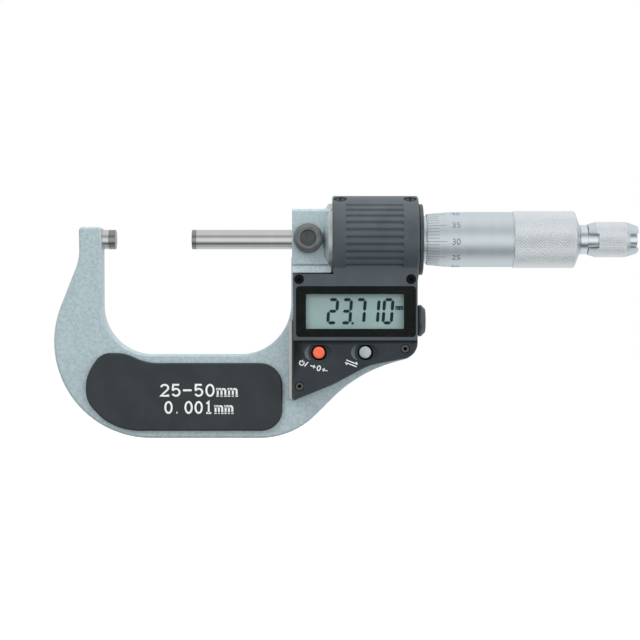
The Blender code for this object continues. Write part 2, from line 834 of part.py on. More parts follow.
def make_lock():
    pivot = new_pivot("lock_axis", (LOCK_X, -BLOCK_HALF_DEPTH, 0))
    place = (LOCK_X, 0, 0)
    rod("lock_pad", LOCK_PAD_RADIUS, 3.75, 6.6, "brass", pivot, axis="-y", place=place, steps=16)
    profile = [
        (6.8, 0),
        (6.8, LOCK_STEM_RADIUS),
        (8.5, LOCK_STEM_RADIUS),
        (8.5, LOCK_KNOB_RADIUS),
        (12.4, LOCK_KNOB_RADIUS),
        (13.0, LOCK_KNOB_RADIUS - 0.6),
        (13.0, 2.6),
        (12.5, 2.4),
        (12.5, 0),
    ]
    turned("lock_knob", profile, "dark_steel", pivot, axis="-y", place=place)


def make_encoder():
    pivot = new_pivot("rotor_axis", (80.0, 0, 0))
    bore = SPINDLE_RADIUS + FIT
    rotor_profile = [
        (SPIGOT_END_X + 0.4, bore),
        (SPIGOT_END_X + 0.4, 5.5),
        (88.9, 5.5),
        (88.9, 11.2),
        (90.3, 11.2),
        (90.3, bore),
    ]
    rotor = turned("encoder_rotor", rotor_profile, "board", pivot, steps=ROUND)
    cut(rotor, block("key_window", (85.6, 2.6, -0.6), (88.8, 6.5, 0.6)))
    block("rotor_key", (85.8, 2.7, -0.35), (88.6, 5.2, 0.35), "satin_steel", pivot)
    ring("encoder_stator", 6.1, 12.2, 90.9, 92.4, "board", steps=ROUND)


def make_spindle(pivot):
    profile = [
        (SPINDLE_FACE_X + SPINDLE_TIP_LENGTH + TOUCH, 0),
        (SPINDLE_FACE_X + SPINDLE_TIP_LENGTH + TOUCH, SPINDLE_RADIUS),
        (THREAD_START_X - 0.4, SPINDLE_RADIUS),
        (THREAD_START_X, THREAD_RADIUS),
        (THREAD_END_X, THREAD_RADIUS),
        (THREAD_END_X + 0.6, 3.9),
        (SPINDLE_END_X, 3.9),
        (SPINDLE_END_X, 1.8),
        (148.8, 1.8),
        (148.8, 0),
    ]
    spindle = turned("spindle", profile, "satin_steel", pivot, steps=ROUND)
    cut(spindle, block("keyway", (60.0, 2.4, -0.55), (92.0, 4.5, 0.55)))
    face = SPINDLE_FACE_X
    rod("spindle_tip", SPINDLE_RADIUS, face, face + SPINDLE_TIP_LENGTH, "carbide", pivot, steps=ROUND)


def make_sleeves():
    flange_start, flange_end = FLANGE
    profile = [
        (flange_start, INNER_SLEEVE_BORE),
        (flange_start, SPIGOT_RADIUS),
        (flange_end, SPIGOT_RADIUS),
        (flange_end, INNER_SLEEVE_RADIUS),
        (INNER_SLEEVE_END_X, INNER_SLEEVE_RADIUS),
        (INNER_SLEEVE_END_X, INNER_SLEEVE_BORE),
    ]
    sleeve = turned("inner_sleeve", profile, "satin_steel", steps=ROUND)
    post_flat = block("post_flat", (94.0, -14.0, -14.0), (101.0, 14.0, -10.6))
    cut(sleeve, post_flat, drum_screw_tool("flange_screw_hole", DRUM_SCREW_XS[1], SCREW_HOLE, 8.4, 13.5))
    start, end = OUTER_SLEEVE
    ring("outer_sleeve", INNER_SLEEVE_RADIUS + FIT, OUTER_SLEEVE_RADIUS, start, end,
         "satin_steel", steps=ROUND)
    ring("drum_end_ring", OUTER_SLEEVE_RADIUS + FIT, 11.8, 100.7, 102.0, "charcoal", steps=ROUND)
    nut = ring("adjusting_nut", INNER_SLEEVE_RADIUS + FIT, 7.4, 139.5, 144.5, "satin_steel")
    slots = []
    for angle in (0, 90):
        slot = block("nut_slot", (143.2, -9.0, -0.6), (146.0, 9.0, 0.6))
        slot.rotation_euler = (math.radians(angle), 0, 0)
        slots.append(slot)
    cut(nut, *slots)


def make_thimble(pivot):
    profile = [
        (THIMBLE_START_X, THIMBLE_BORE),
        (THIMBLE_START_X, 8.45),
        (111.0, THIMBLE_RADIUS),
        (KNURL_START_X - 0.5, THIMBLE_RADIUS),
        (KNURL_START_X - 0.4, THIMBLE_RADIUS - 0.25),
        (KNURL_START_X - 0.1, THIMBLE_RADIUS - 0.25),
        (KNURL_START_X, KNURL_RADIUS),
        (152.2, KNURL_RADIUS),
        (152.5, KNURL_RADIUS - 0.2),
        (153.0, 7.6),
        (THIMBLE_END_X, 5.2),
        (THIMBLE_END_X, 4.1),
        (147.6, 4.1),
        (147.6, THIMBLE_BORE),
    ]
    turned("thimble", profile, "satin_steel", pivot, steps=DRUM_SIDES)


def make_ratchet(pivot, knob_pivot):
    stub = [
        (152.8, 1.7),
        (152.8, 3.85),
        (THIMBLE_END_X + TOUCH, 3.85),
        (THIMBLE_END_X + TOUCH, 4.9),
        (RATCHET_START_X - FIT, 4.9),
        (RATCHET_START_X - FIT, 4.1),
        (160.6, 4.1),
        (160.6, 1.7),
    ]
    turned("ratchet_stub", stub, "satin_steel", pivot)
    screw = [(149.2, 0), (149.2, 1.5), (169.6, 1.5), (169.6, 3.5), (172.9, 3.5), (173.2, 3.2), (173.2, 0)]
    turned("ratchet_screw", screw, "satin_steel", pivot, steps=24)
    ring("ratchet_clutch", 1.7, 4.0, 164.2, 167.0, "satin_steel", pivot, steps=24)
    make_ratchet_spring(pivot)
    knob_profile = [
        (RATCHET_START_X, 4.3),
        (RATCHET_START_X, 5.1),
        (159.4, RATCHET_RADIUS),
        (169.5, RATCHET_RADIUS),
        (RATCHET_END_X, 4.55),
        (RATCHET_END_X, 3.7),
        (169.4, 3.7),
        (169.4, 1.8),
        (167.3, 1.8),
        (167.3, 4.3),
    ]
    knob = turned("ratchet_knob", knob_profile, "satin_steel", knob_pivot, steps=ROUND)
    notches = [
        block("left_notch", (156.0, -8.0, -2.5), (160.2, 8.0, 2.5)),
        block("right_notch", (170.4, -8.0, -2.35), (175.0, 8.0, 2.35)),
    ]
    for notch in notches:
        notch.rotation_euler = (math.radians(NOTCH_TURN), 0.0, 0.0)
    cut(knob, *notches)


def make_ratchet_spring(pivot):
    turns, points_per_turn = 3, 10
    start, end, radius = 161.1, 163.7, 2.9
    curve = bpy.data.curves.new("ratchet_spring", "CURVE")
    curve.dimensions = "3D"
    curve.bevel_depth = 0.35 * MM
    curve.bevel_resolution = 1
    curve.use_fill_caps = True
    spline = curve.splines.new("POLY")
    count = turns * points_per_turn + 1
    spline.points.add(count - 1)
    for index, point in enumerate(spline.points):
        share = index / (count - 1)
        angle = 2 * math.pi * turns * share
        x = start + (end - start) * share
        point.co = (x * MM, radius * math.cos(angle) * MM, radius * math.sin(angle) * MM, 1.0)
    curve.materials.append(MATERIALS["satin_steel"])
    spring = bpy.data.objects.new("ratchet_spring", curve)
    PARTS.objects.link(spring)
    spring.parent = pivot
    spring.location = -pivot.location


def main():
    make_frame()
    make_anvil()
    make_grips()
    make_housing()
    make_screws()
    make_display()
    make_buttons()
    make_battery()
    make_bush()
    make_lock()
    make_encoder()
    make_sleeves()
    spindle_axis = new_pivot("spindle_axis", (SPINDLE_FACE_X, 0, 0))
    ratchet_axis = new_pivot("ratchet_axis", (RATCHET_START_X, 0, 0))
    make_spindle(spindle_axis)
    make_thimble(spindle_axis)
    make_ratchet(spindle_axis, ratchet_axis)
    weld_cut_pieces()


main()
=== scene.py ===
"""The looks of a 25 to 50 mm digital outside micrometer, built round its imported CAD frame.

The measuring axis is X, up is Z and the display looks along -Y. Sizes are in
millimetres unless a comment says otherwise, and the helpers turn them into metres.
Sizes that the CAD nodes' boxes can't tell are repeated here from the CAD source.
"""

import contextlib
import math

import bmesh
import bpy
from mathutils import Matrix, Vector


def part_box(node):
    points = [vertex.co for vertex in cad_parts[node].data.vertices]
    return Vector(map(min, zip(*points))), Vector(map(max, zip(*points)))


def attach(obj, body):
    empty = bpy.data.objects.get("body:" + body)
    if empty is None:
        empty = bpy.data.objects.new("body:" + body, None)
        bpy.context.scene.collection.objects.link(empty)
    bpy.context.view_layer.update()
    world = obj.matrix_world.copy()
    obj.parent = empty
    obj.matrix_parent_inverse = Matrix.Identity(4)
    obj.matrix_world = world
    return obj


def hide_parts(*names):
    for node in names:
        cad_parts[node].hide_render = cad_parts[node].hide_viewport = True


MM = 0.001

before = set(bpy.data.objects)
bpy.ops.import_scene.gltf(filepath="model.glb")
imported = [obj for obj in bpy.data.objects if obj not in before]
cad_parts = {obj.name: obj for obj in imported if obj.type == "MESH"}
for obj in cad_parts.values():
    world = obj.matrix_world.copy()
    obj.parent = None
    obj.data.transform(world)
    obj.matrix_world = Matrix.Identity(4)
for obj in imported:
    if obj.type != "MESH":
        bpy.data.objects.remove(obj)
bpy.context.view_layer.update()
scene = bpy.context.scene

# ---- finishes

ALL_ROUND = (1, 1, 1)
ROUND_X = (1, 60, 60)  # draws the grain out round the measuring axis, as turning does
TURNED_FINISHES = ("satin_chrome", "bright_chrome", "sleeve_chrome", "ground_steel", "carbide")
# Each row: colour, darker shade, roughness and its spread, size of the patches of colour, size of
# the grain and its depth, and then metallic (0 if left out) and specular (0.5 if left out).
FINISHES = {
    "grip_plastic": ((0.03, 0.036, 0.04), (0.022, 0.027, 0.03), 0.45, 0.06, 8.0, 0.22, 0.012, 0.0, 0.3),
    "housing_plastic": ((0.059, 0.073, 0.083), (0.045, 0.056, 0.065), 0.42, 0.06, 9.0, 0.25, 0.012),
    "housing_panel": ((0.027, 0.034, 0.04), (0.018, 0.024, 0.028), 0.5, 0.06, 7.0, 0.2, 0.02, 0.0, 0.3),
    # a lighter copy of the panel plastic: a painted highlight on the dish sides that face right
    "dish_lit_side": ((0.095, 0.112, 0.122), (0.07, 0.084, 0.094), 0.4, 0.06, 7.0, 0.2, 0.01),
    "satin_chrome": ((0.80, 0.855, 0.885), (0.765, 0.82, 0.85), 0.46, 0.03, 4.0, 0.1, 0.0009, 1.0),
    # a brighter copy of the satin chrome: painted light for the knurls, whose facets catch more light
    "knurl_lit_chrome": ((0.96, 0.98, 0.99), (0.91, 0.935, 0.95), 0.5, 0.05, 5.0, 0.15, 0.002, 1.0),
    "bright_chrome": ((0.86, 0.89, 0.91), (0.81, 0.84, 0.87), 0.16, 0.03, 3.0, 0.12, 0.0004, 1.0),
    "sleeve_chrome": ((0.90, 0.93, 0.95), (0.85, 0.88, 0.90), 0.42, 0.03, 4.0, 0.1, 0.0006, 1.0),
    "ground_steel": ((0.70, 0.69, 0.665), (0.67, 0.66, 0.64), 0.17, 0.02, 6.0, 0.08, 0.0006, 1.0),
    "carbide": ((0.36, 0.36, 0.34), (0.30, 0.30, 0.285), 0.26, 0.04, 2.0, 0.1, 0.0008, 1.0),
    # a light metal tone: a painted highlight on the arm's ledge and the spigot's rim
    "ledge_painted_highlight": ((0.60, 0.61, 0.575), (0.53, 0.545, 0.515), 0.38, 0.05, 5.0, 0.15, 0.002, 0.8),
    "brass": ((0.70, 0.50, 0.22), (0.58, 0.40, 0.17), 0.3, 0.06, 3.0, 0.1, 0.002, 1.0),
    "window": ((0.006, 0.009, 0.008), (0.004, 0.006, 0.005), 0.2, 0.04, 5.0, 0.5, 0.0, 0.0, 0.05),
    "lcd": ((0.325, 0.445, 0.43), (0.275, 0.39, 0.38), 0.3, 0.06, 14.0, 0.2, 0.001, 0.0, 0.3),
    "lcd_ink": ((0.003, 0.022, 0.034), (0.002, 0.015, 0.024), 0.4, 0.06, 1.0, 0.2, 0.0, 0.0, 0.2),
    "board": ((0.03, 0.19, 0.08), (0.02, 0.13, 0.05), 0.45, 0.06, 2.0, 0.4, 0.01),
    "chip": ((0.012, 0.012, 0.013), (0.008, 0.008, 0.009), 0.5, 0.06, 1.0, 0.1, 0.004),
    "screw_steel": ((0.125, 0.118, 0.116), (0.085, 0.08, 0.08), 0.3, 0.06, 1.6, 0.1, 0.003, 1.0),
    "drum_screw_steel": ((0.06, 0.06, 0.062), (0.04, 0.04, 0.042), 0.35, 0.06, 1.6, 0.1, 0.003, 1.0),
    # near-black and not metallic: painted shade on the two screw heads whose counterbores look black
    "screw_head_shade": ((0.004, 0.005, 0.006), (0.002, 0.003, 0.004), 0.4, 0.06, 1.6, 0.1, 0.003, 0, 0.12),
    # near-black painted shade for the insides of holes: button holes, screw sockets and the hidden foot
    # of each button
    "painted_hollow_shade": ((0.004, 0.005, 0.006), (0.002, 0.003, 0.003), 0.7, 0.06, 1.6, 0.1, 0.003, 0.0, 0.1),
    # the lock knob's steel; also used as a painted reflection on the left band of the drum end ring
    "lock_steel": ((0.165, 0.178, 0.176), (0.125, 0.136, 0.136), 0.36, 0.06, 2.5, 0.12, 0.004, 0.6),
    # a darker copy of the knob steel: painted shade in the knob's recessed hub
    "lock_hub_shade": ((0.085, 0.096, 0.100), (0.055, 0.063, 0.067), 0.35, 0.06, 2.0, 0.12, 0.004, 0.6),
    "rubber": ((0.014, 0.015, 0.016), (0.010, 0.010, 0.011), 0.75, 0.06, 1.0, 0.15, 0.01),
    "red_plastic": ((0.86, 0.145, 0.065), (0.74, 0.105, 0.05), 0.35, 0.06, 3.0, 0.2, 0.003),
    "grey_plastic": ((0.37, 0.405, 0.40), (0.31, 0.345, 0.34), 0.38, 0.06, 3.0, 0.2, 0.004),
    "cap_plastic": ((0.055, 0.062, 0.075), (0.035, 0.042, 0.052), 0.42, 0.06, 3.0, 0.2, 0.01),
    "white_ink": ((0.82, 0.83, 0.83), (0.70, 0.72, 0.72), 0.5, 0.06, 1.0, 0.1, 0.002),
    "dark_ink": ((0.13, 0.155, 0.175), (0.09, 0.11, 0.125), 0.55, 0.06, 1.0, 0.1, 0.002),
}
ENAMEL_ROUGHNESS = 0.42
ENAMEL_CELL = 0.95  # size of a dimple


def fill(tree, node, inputs):
    """Set each input of a node to its value, or link it to the output that is given for it."""
    for name, value in inputs.items():
        if isinstance(value, bpy.types.NodeSocket):
            tree.links.new(value, node.inputs[name])
        else:
            node.inputs[name].default_value = value
    return node


def add_node(tree, kind, inputs):
    return fill(tree, tree.nodes.new("ShaderNode" + kind), inputs)


def new_look(name, roughness, metallic=0.0, specular=0.5, coat=0.0):
    """A material with its plain values set, and the output that gives the place on the piece."""
    material = bpy.data.materials.new(name)
    material.use_nodes = True
    tree = material.node_tree
    plain = {
        "Metallic": metallic,
        "Roughness": roughness,
        "Specular IOR Level": specular,
        "Coat Weight": coat,
        "Coat Roughness": 0.12,
    }
    shader = fill(tree, tree.nodes["Principled BSDF"], plain)
    return material, tree, shader, add_node(tree, "TexCoord", {}).outputs["Object"]


def noise(tree, place, size, detail=3.0, stretch=ALL_ROUND):
    """Noise with features of that size in millimetres, drawn out along the stretched axes."""
    if stretch != ALL_ROUND:
        squeeze = {"Scale": [1 / s for s in stretch], "Vector": place}
        place = add_node(tree, "Mapping", squeeze).outputs["Vector"]
    inputs = {"Scale": 1 / (size * MM), "Detail": detail, "Vector": place}
    return add_node(tree, "TexNoise", inputs).outputs["Fac"]


def colour_between(tree, value, colour, shade, low=0.35, high=0.65):
    ramp = add_node(tree, "ValToRGB", {"Fac": value})
    first, last = ramp.color_ramp.elements
    first.position, last.position = low, high
    first.color, last.color = (*shade, 1.0), (*colour, 1.0)
    return ramp.outputs["Color"]


def value_between(tree, value, low, high):
    ends = {"From Min": 0.3, "From Max": 0.7, "To Min": low, "To Max": high}
    return add_node(tree, "MapRange", {"Value": value, **ends}).outputs["Result"]


def bump(tree, height, depth, before=None):
    """Raise the surface by depth millimetres where the height is one."""
    inputs = {"Distance": depth * MM, "Strength": 1.0, "Height": height}
    if before is not None:
        inputs["Normal"] = before
    return add_node(tree, "Bump", inputs).outputs["Normal"]


def grained(name, colour, shade, roughness, spread, patch, grain, depth, metallic=0.0, specular=0.5):
    """A finish whose colour wanders between two tones, over a fine grain."""
    material, tree, shader, place = new_look(name, roughness, metallic, specular)
    stretch = ROUND_X if name in TURNED_FINISHES else ALL_ROUND
    patches = noise(tree, place, patch, 4.0, stretch)
    inputs = {
        "Base Color": colour_between(tree, patches, colour, shade),
        "Roughness": value_between(tree, patches, roughness - spread, roughness + spread),
    }
    if depth:
        inputs["Normal"] = bump(tree, noise(tree, place, grain, 2.0, stretch), depth)
    fill(tree, shader, inputs)
    return material


def hammered(name, colour, shade):
    """Hammertone enamel: shallow dimples with a lighter metallic flake between them."""
    material, tree, shader, place = new_look(name, ENAMEL_ROUGHNESS, metallic=0.25, coat=0.35)
    cells = add_node(tree, "TexVoronoi", {"Scale": 1 / (ENAMEL_CELL * MM), "Vector": place})
    cells.feature = "SMOOTH_F1"
    wander = noise(tree, place, 1.3)
    flake = noise(tree, place, 0.8, 5.0)
    dimples = bump(tree, cells.outputs["Distance"], 0.022)
    inputs = {
        "Base Color": colour_between(tree, flake, colour, shade, 0.38, 0.6),
        "Roughness": value_between(tree, wander, ENAMEL_ROUGHNESS - 0.1, ENAMEL_ROUGHNESS + 0.1),
        "Normal": bump(tree, wander, 0.03, dimples),
    }
    fill(tree, shader, inputs)
    return material


def clear_look(name):
    """The thin hard-coated pane over the display."""
    material, tree, shader, place = new_look(name, 0.08, specular=0.06)
    haze = noise(tree, place, 20.0, 2.0)
    inputs = {
        "Base Color": colour_between(tree, haze, (0.05, 0.06, 0.055), (0.03, 0.035, 0.035)),
        "Roughness": value_between(tree, haze, 0.05, 0.12),
        "Alpha": 0.05,
    }
    fill(tree, shader, inputs)
    return material


LOOKS = {name: grained(name, *values) for name, values in FINISHES.items()}
LOOKS["frame_paint"] = hammered("frame_paint", (0.425, 0.515, 0.535), (0.345, 0.43, 0.455))
# a lighter copy of the frame enamel: a painted highlight for the land along the foot of the spindle
# block
LOOKS["frame_paint_lit"] = hammered("frame_paint_lit", (0.545, 0.645, 0.665), (0.46, 0.555, 0.58))
LOOKS["clear_pane"] = clear_look("clear_pane")

# ---- mesh helpers

ARC_STEP = 6.0  # degrees between the points of a rounded outline
FINE_ARC_STEP = 4.0
PROFILE_ARC_STEP = 15.0  # the same in a turned piece's profile
ROUND_STEPS = 96  # sides of a turned piece
SHARP_ANGLE = 32.0  # degrees; edges that turn by more stay crisp
WELD = 0.002  # points closer than this become one
PRINT = 0.03  # thickness of a printed or filled mark
WRAP_STEP = 0.35  # length of the flat strips of a mark bent round a cylinder


def new_object(name, mesh):
    piece = bpy.data.objects.new(name, mesh)
    scene.collection.objects.link(piece)
    return piece


@contextlib.contextmanager
def editing(mesh):
    """A mesh opened as a bmesh, and written back at the end."""
    shape = bmesh.new()
    shape.from_mesh(mesh)
    yield shape
    shape.to_mesh(mesh)
    shape.free()


def mesh_from(name, points, faces):
    """A closed mesh from points in millimetres, with its normals outward."""
    mesh = bpy.data.meshes.new(name)
    with editing(mesh) as shape:
        corners = [shape.verts.new(Vector(point) * MM) for point in points]
        for face in faces:
            shape.faces.new([corners[i] for i in face])
        bmesh.ops.recalc_face_normals(shape, faces=shape.faces)
    return mesh


def rounded(corners, step=ARC_STEP):
    """Points of a closed outline: each corner (x, z, radius) becomes an arc."""
    points = []
    count = len(corners)
    for i, corner in enumerate(corners):
        x, z, radius = corner if len(corner) == 3 else (*corner, 0.0)
        here = Vector((x, z))
        back = (Vector(corners[i - 1][:2]) - here).normalized()
        ahead = (Vector(corners[(i + 1) % count][:2]) - here).normalized()
        bend = math.pi - back.angle(ahead)
        if radius == 0 or bend < 1e-3:
            points.append((x, z))
            continue
        reach = radius * math.tan(bend / 2)
        centre = here + (back + ahead).normalized() * (radius / math.cos(bend / 2))
        first = here + back * reach - centre
        pieces = max(1, round(math.degrees(bend) / step))
        side = 1.0 if back.x * ahead.y - back.y * ahead.x < 0 else -1.0
        for j in range(pieces + 1):
            angle = side * bend * j / pieces
            along = first.x * math.cos(angle) - first.y * math.sin(angle)
            across = first.x * math.sin(angle) + first.y * math.cos(angle)
            points.append((centre.x + along, centre.y + across))
    return points


def rectangle(low_x, low_z, high_x, high_z, radius=0.0, grow=0.0):
    low_x, low_z, high_x, high_z = low_x - grow, low_z - grow, high_x + grow, high_z + grow
    corners = [(low_x, low_z), (high_x, low_z), (high_x, high_z), (low_x, high_z)]
    return [(x, z, radius) for x, z in corners]


def prism_faces(count):
    """The faces of a prism whose points are its one outline and then its other."""
    faces = [list(range(count)), list(range(2 * count - 1, count - 1, -1))]
    for i in range(count):
        j = (i + 1) % count
        faces.append([i, j, j + count, i + count])
    return faces


def plate(name, corners, back, front, radius=0.0, step=ARC_STEP):
    """A flat piece with an outline in X and Z between two depths in Y, its edges rounded."""
    outline = rounded(corners, step)
    count = len(outline)
    points = [(x, front, z) for x, z in outline] + [(x, back, z) for x, z in outline]
    mesh = mesh_from(name, points, prism_faces(count))
    if radius:
        with editing(mesh) as shape:
            rims = [e for e in shape.edges if any(len(f.verts) == count for f in e.link_faces)]
            bmesh.ops.bevel(
                shape,
                geom=rims,
                offset=radius * MM,
                segments=3,
                profile=0.5,
                affect="EDGES",
                clamp_overlap=True,
            )
    return new_object(name, mesh)


def block(name, low, high, edge=0.0):
    return plate(name, rectangle(low[0], low[2], high[0], high[2]), high[1], low[1], edge)


AXES = {
    "x": Matrix(((0, 0, 1), (1, 0, 0), (0, 1, 0))).to_4x4(),  # the profile's height runs along +X
    "-y": Matrix(((1, 0, 0), (0, 0, -1), (0, 1, 0))).to_4x4(),  # the height runs towards the front
}


class Knurl:
    """A diamond knurl between two heights, with count ridges each way round the piece."""

    CHAMFER = 0.15
    BLUNT = 0.4  # of the half pitch, where the points of the diamonds are flattened

    def __init__(self, start, end, radius, count, pitch, depth):
        self.radius, self.depth = radius, depth
        rows = max(2, round((end - start) / (pitch / 4)))
        self.heights = [start + (end - start) * row / rows for row in range(rows + 1)]
        self.turns = [math.pi * step / (2 * count) for step in range(4 * count)]
        self.root = radius - depth

    def corners(self):
        ends = (self.heights[0] - self.CHAMFER, self.heights[-1] + self.CHAMFER)
        return [(end, self.root) for end in ends]

    def reach(self, row, step):
        from_groove = min(abs(t - round(t)) for t in ((step + row) / 4, (step - row) / 4))
        return self.root + self.depth * min(from_groove, self.BLUNT) / self.BLUNT


class Grooves:
    """Lengthwise round grooves with soft lips and ends, at given angles round the piece."""

    ACROSS = (0.0, 0.2, 0.38, 0.5, 0.58, 0.8, 1.05)  # distances from a groove's middle
    DEPTHS = (0.55, 0.51, 0.40, 0.25, 0.12, 0.04, 0.0)
    FROM_END = (0.0, 0.08, 0.25, 0.55)
    END_DEPTHS = (0.0, 0.52, 0.84, 1.0)  # of the full depth
    PLAIN_STEP = 5.0  # degrees between the points where there is no groove

    def __init__(self, start, end, radius, middles):
        self.radius = radius
        self.heights = [start + d for d in self.FROM_END] + [end - d for d in reversed(self.FROM_END)]
        self.shares = self.END_DEPTHS + self.END_DEPTHS[::-1]
        spots = {}
        for angle in range(0, 360, round(self.PLAIN_STEP)):
            gap = min(abs((angle - m + 180) % 360 - 180) for m in middles)
            if math.radians(gap) * radius > self.ACROSS[-1] + 0.3:
                spots[float(angle)] = 0.0
        for m in middles:
            for across, depth in zip(self.ACROSS, self.DEPTHS):
                for side in (-1, 1):
                    spots[round((m + side * math.degrees(across / radius)) % 360, 4)] = depth
        self.turns = [math.radians(angle) for angle in sorted(spots)]
        self.depths = [spots[angle] for angle in sorted(spots)]

    def corners(self):
        return [(self.heights[0] - 0.5, self.radius), (self.heights[-1] + 0.5, self.radius)]

    def reach(self, row, step):
        return self.radius - self.depths[step] * self.shares[row]


def turned(name, corners, axis="x", place=(0, 0, 0), steps=ROUND_STEPS, relief=None):
    """A turned piece from the corners (height, radius, rounding) of its closed profile."""
    rings = [(height, radius, None) for height, radius in rounded(corners, PROFILE_ARC_STEP)]
    turns = [2 * math.pi * step / steps for step in range(steps)]
    if relief:
        turns = relief.turns
        first = Vector(relief.corners()[0])
        spot = min(range(len(rings)), key=lambda i: (Vector(rings[i][:2]) - first).length)
        rows = [(height, relief.radius, row) for row, height in enumerate(relief.heights)]
        rings[spot + 1 : spot + 1] = rows
    points, index = [], []
    for height, radius, row in rings:
        index.append(len(points))
        if radius < 1e-6:
            points.append((0.0, 0.0, height))
            continue
        for step, angle in enumerate(turns):
            reach = radius if row is None else relief.reach(row, step)
            points.append((reach * math.cos(angle), reach * math.sin(angle), height))
    faces = []
    for i, (_, radius, row) in enumerate(rings):
        k = (i + 1) % len(rings)
        here, there = radius >= 1e-6, rings[k][1] >= 1e-6
        if not here and not there:
            continue
        for a in range(len(turns)):
            b = (a + 1) % len(turns)
            if here and there:
                corners_of = [index[i] + a, index[i] + b, index[k] + b, index[k] + a]
                if row is None or rings[k][2] is None:
                    faces.append(corners_of)
                elif (a + row) % 2:
                    faces += [[corners_of[n] for n in (0, 1, 3)], [corners_of[n] for n in (1, 2, 3)]]
                else:
                    faces += [[corners_of[n] for n in (0, 1, 2)], [corners_of[n] for n in (0, 2, 3)]]
            elif here:
                faces.append([index[i] + a, index[i] + b, index[k]])
            else:
                faces.append([index[i], index[k] + b, index[k] + a])
    mesh = mesh_from(name, points, faces)
    mesh.transform(Matrix.Translation(Vector(place) * MM) @ AXES[axis])
    return new_object(name, mesh)


def rod(name, radius, start, end, axis="x", place=(0, 0, 0), steps=48):
    return turned(name, [(start, 0), (start, radius), (end, radius), (end, 0)], axis, place, steps)


def carve(piece, operation, *tools):
    """Join or cut a piece with all its tools in one exact step, and take the tools away."""
    group = bpy.data.collections.new("tools")
    for tool in tools:
        group.objects.link(tool)
    step = piece.modifiers.new(operation.lower(), "BOOLEAN")
    step.operation = operation
    step.solver = "EXACT"
    step.operand_type = "COLLECTION"
    step.collection = group
    bpy.context.view_layer.update()
    evaluated = piece.evaluated_get(bpy.context.evaluated_depsgraph_get())
    shape = bmesh.new()
    shape.from_mesh(evaluated.to_mesh())
    evaluated.to_mesh_clear()
    bmesh.ops.remove_doubles(shape, verts=shape.verts, dist=WELD * MM)
    bmesh.ops.dissolve_degenerate(shape, edges=shape.edges, dist=WELD * MM / 2)
    piece.modifiers.clear()
    shape.to_mesh(piece.data)
    shape.free()
    for tool in tools:
        bpy.data.objects.remove(tool, do_unlink=True)
    bpy.data.collections.remove(group)
    return piece


def cut(piece, *tools):
    return carve(piece, "DIFFERENCE", *tools)


def join(piece, *tools):
    return carve(piece, "UNION", *tools)


def merged(name, meshes):
    """One piece from several meshes that don't touch."""
    mesh = bpy.data.meshes.new(name)
    with editing(mesh) as shape:
        for part in meshes:
            shape.from_mesh(part)
    return new_object(name, mesh)


def dress(piece, look, body, slot, *nodes, sharp=SHARP_ANGLE):
    """Give a piece its finish and shading, tie it to its body and hide the CAD nodes it stands in for.
    """
    mesh = piece.data
    mesh.materials.clear()
    mesh.materials.append(LOOKS[look])
    mesh.shade_smooth()
    mesh.set_sharp_from_angle(angle=math.radians(sharp))
    weighted = piece.modifiers.new("even_shading", "WEIGHTED_NORMAL")
    weighted.keep_sharp = True
    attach(piece, body)
    if nodes:
        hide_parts(*nodes)
    return piece


def also(piece, look, chosen):
    """Give another finish to the faces whose centre and normal pass the test, in millimetres."""
    piece.data.materials.append(LOOKS[look])
    for face in piece.data.polygons:
        if chosen(face.center / MM, face.normal):
            face.material_index = len(piece.data.materials) - 1


def span(node):
    """A CAD node's lowest and highest corner, in millimetres."""
    low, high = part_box(node)
    return low / MM, high / MM


def middle(node):
    low, high = span(node)
    return (low + high) / 2


def seat(node):
    """The point of the middle plane that a node stands on, for pieces turned along Y."""
    spot = middle(node)
    return spot.x, 0, spot.z


def pin(name, node, left=0.0, right=0.0):
    """A solid round bar as long and as thick as a node on the measuring axis, its ends rounded."""
    low, high = span(node)
    return turned(name, [(low.x, 0), (low.x, high.z, left), (high.x, high.z, right), (high.x, 0)])


# ---- marks


def stroke(points, width):
    """A flat closed ribbon along points in the X-Y plane, as (points, faces)."""
    sides = []
    for i, point in enumerate(points):
        here = Vector(point)
        before = Vector(points[max(i - 1, 0)])
        after = Vector(points[min(i + 1, len(points) - 1)])
        inward = (here - before).normalized() if i else (after - here).normalized()
        outward = (after - here).normalized() if i < len(points) - 1 else inward
        ahead = (inward + outward).normalized()
        normal = Vector((-ahead.y, ahead.x))
        reach = width / 2 / max(0.5, ahead.dot(outward))
        sides.append((here + normal * reach, here - normal * reach))
    flat = [side[0] for side in sides] + [side[1] for side in reversed(sides)]
    return prism(flat)


def prism(flat):
    """A thin closed prism on an outline in the X-Y plane, as (points, faces)."""
    points = [(x, y, -PRINT / 2) for x, y in flat] + [(x, y, PRINT / 2) for x, y in flat]
    return points, prism_faces(len(flat))


def marks(name, shapes):
    """One mesh from many (points, faces)."""
    points, faces = [], []
    for more_points, more_faces in shapes:
        faces += [[i + len(points) for i in face] for face in more_faces]
        points += more_points
    return mesh_from(name, points, faces)


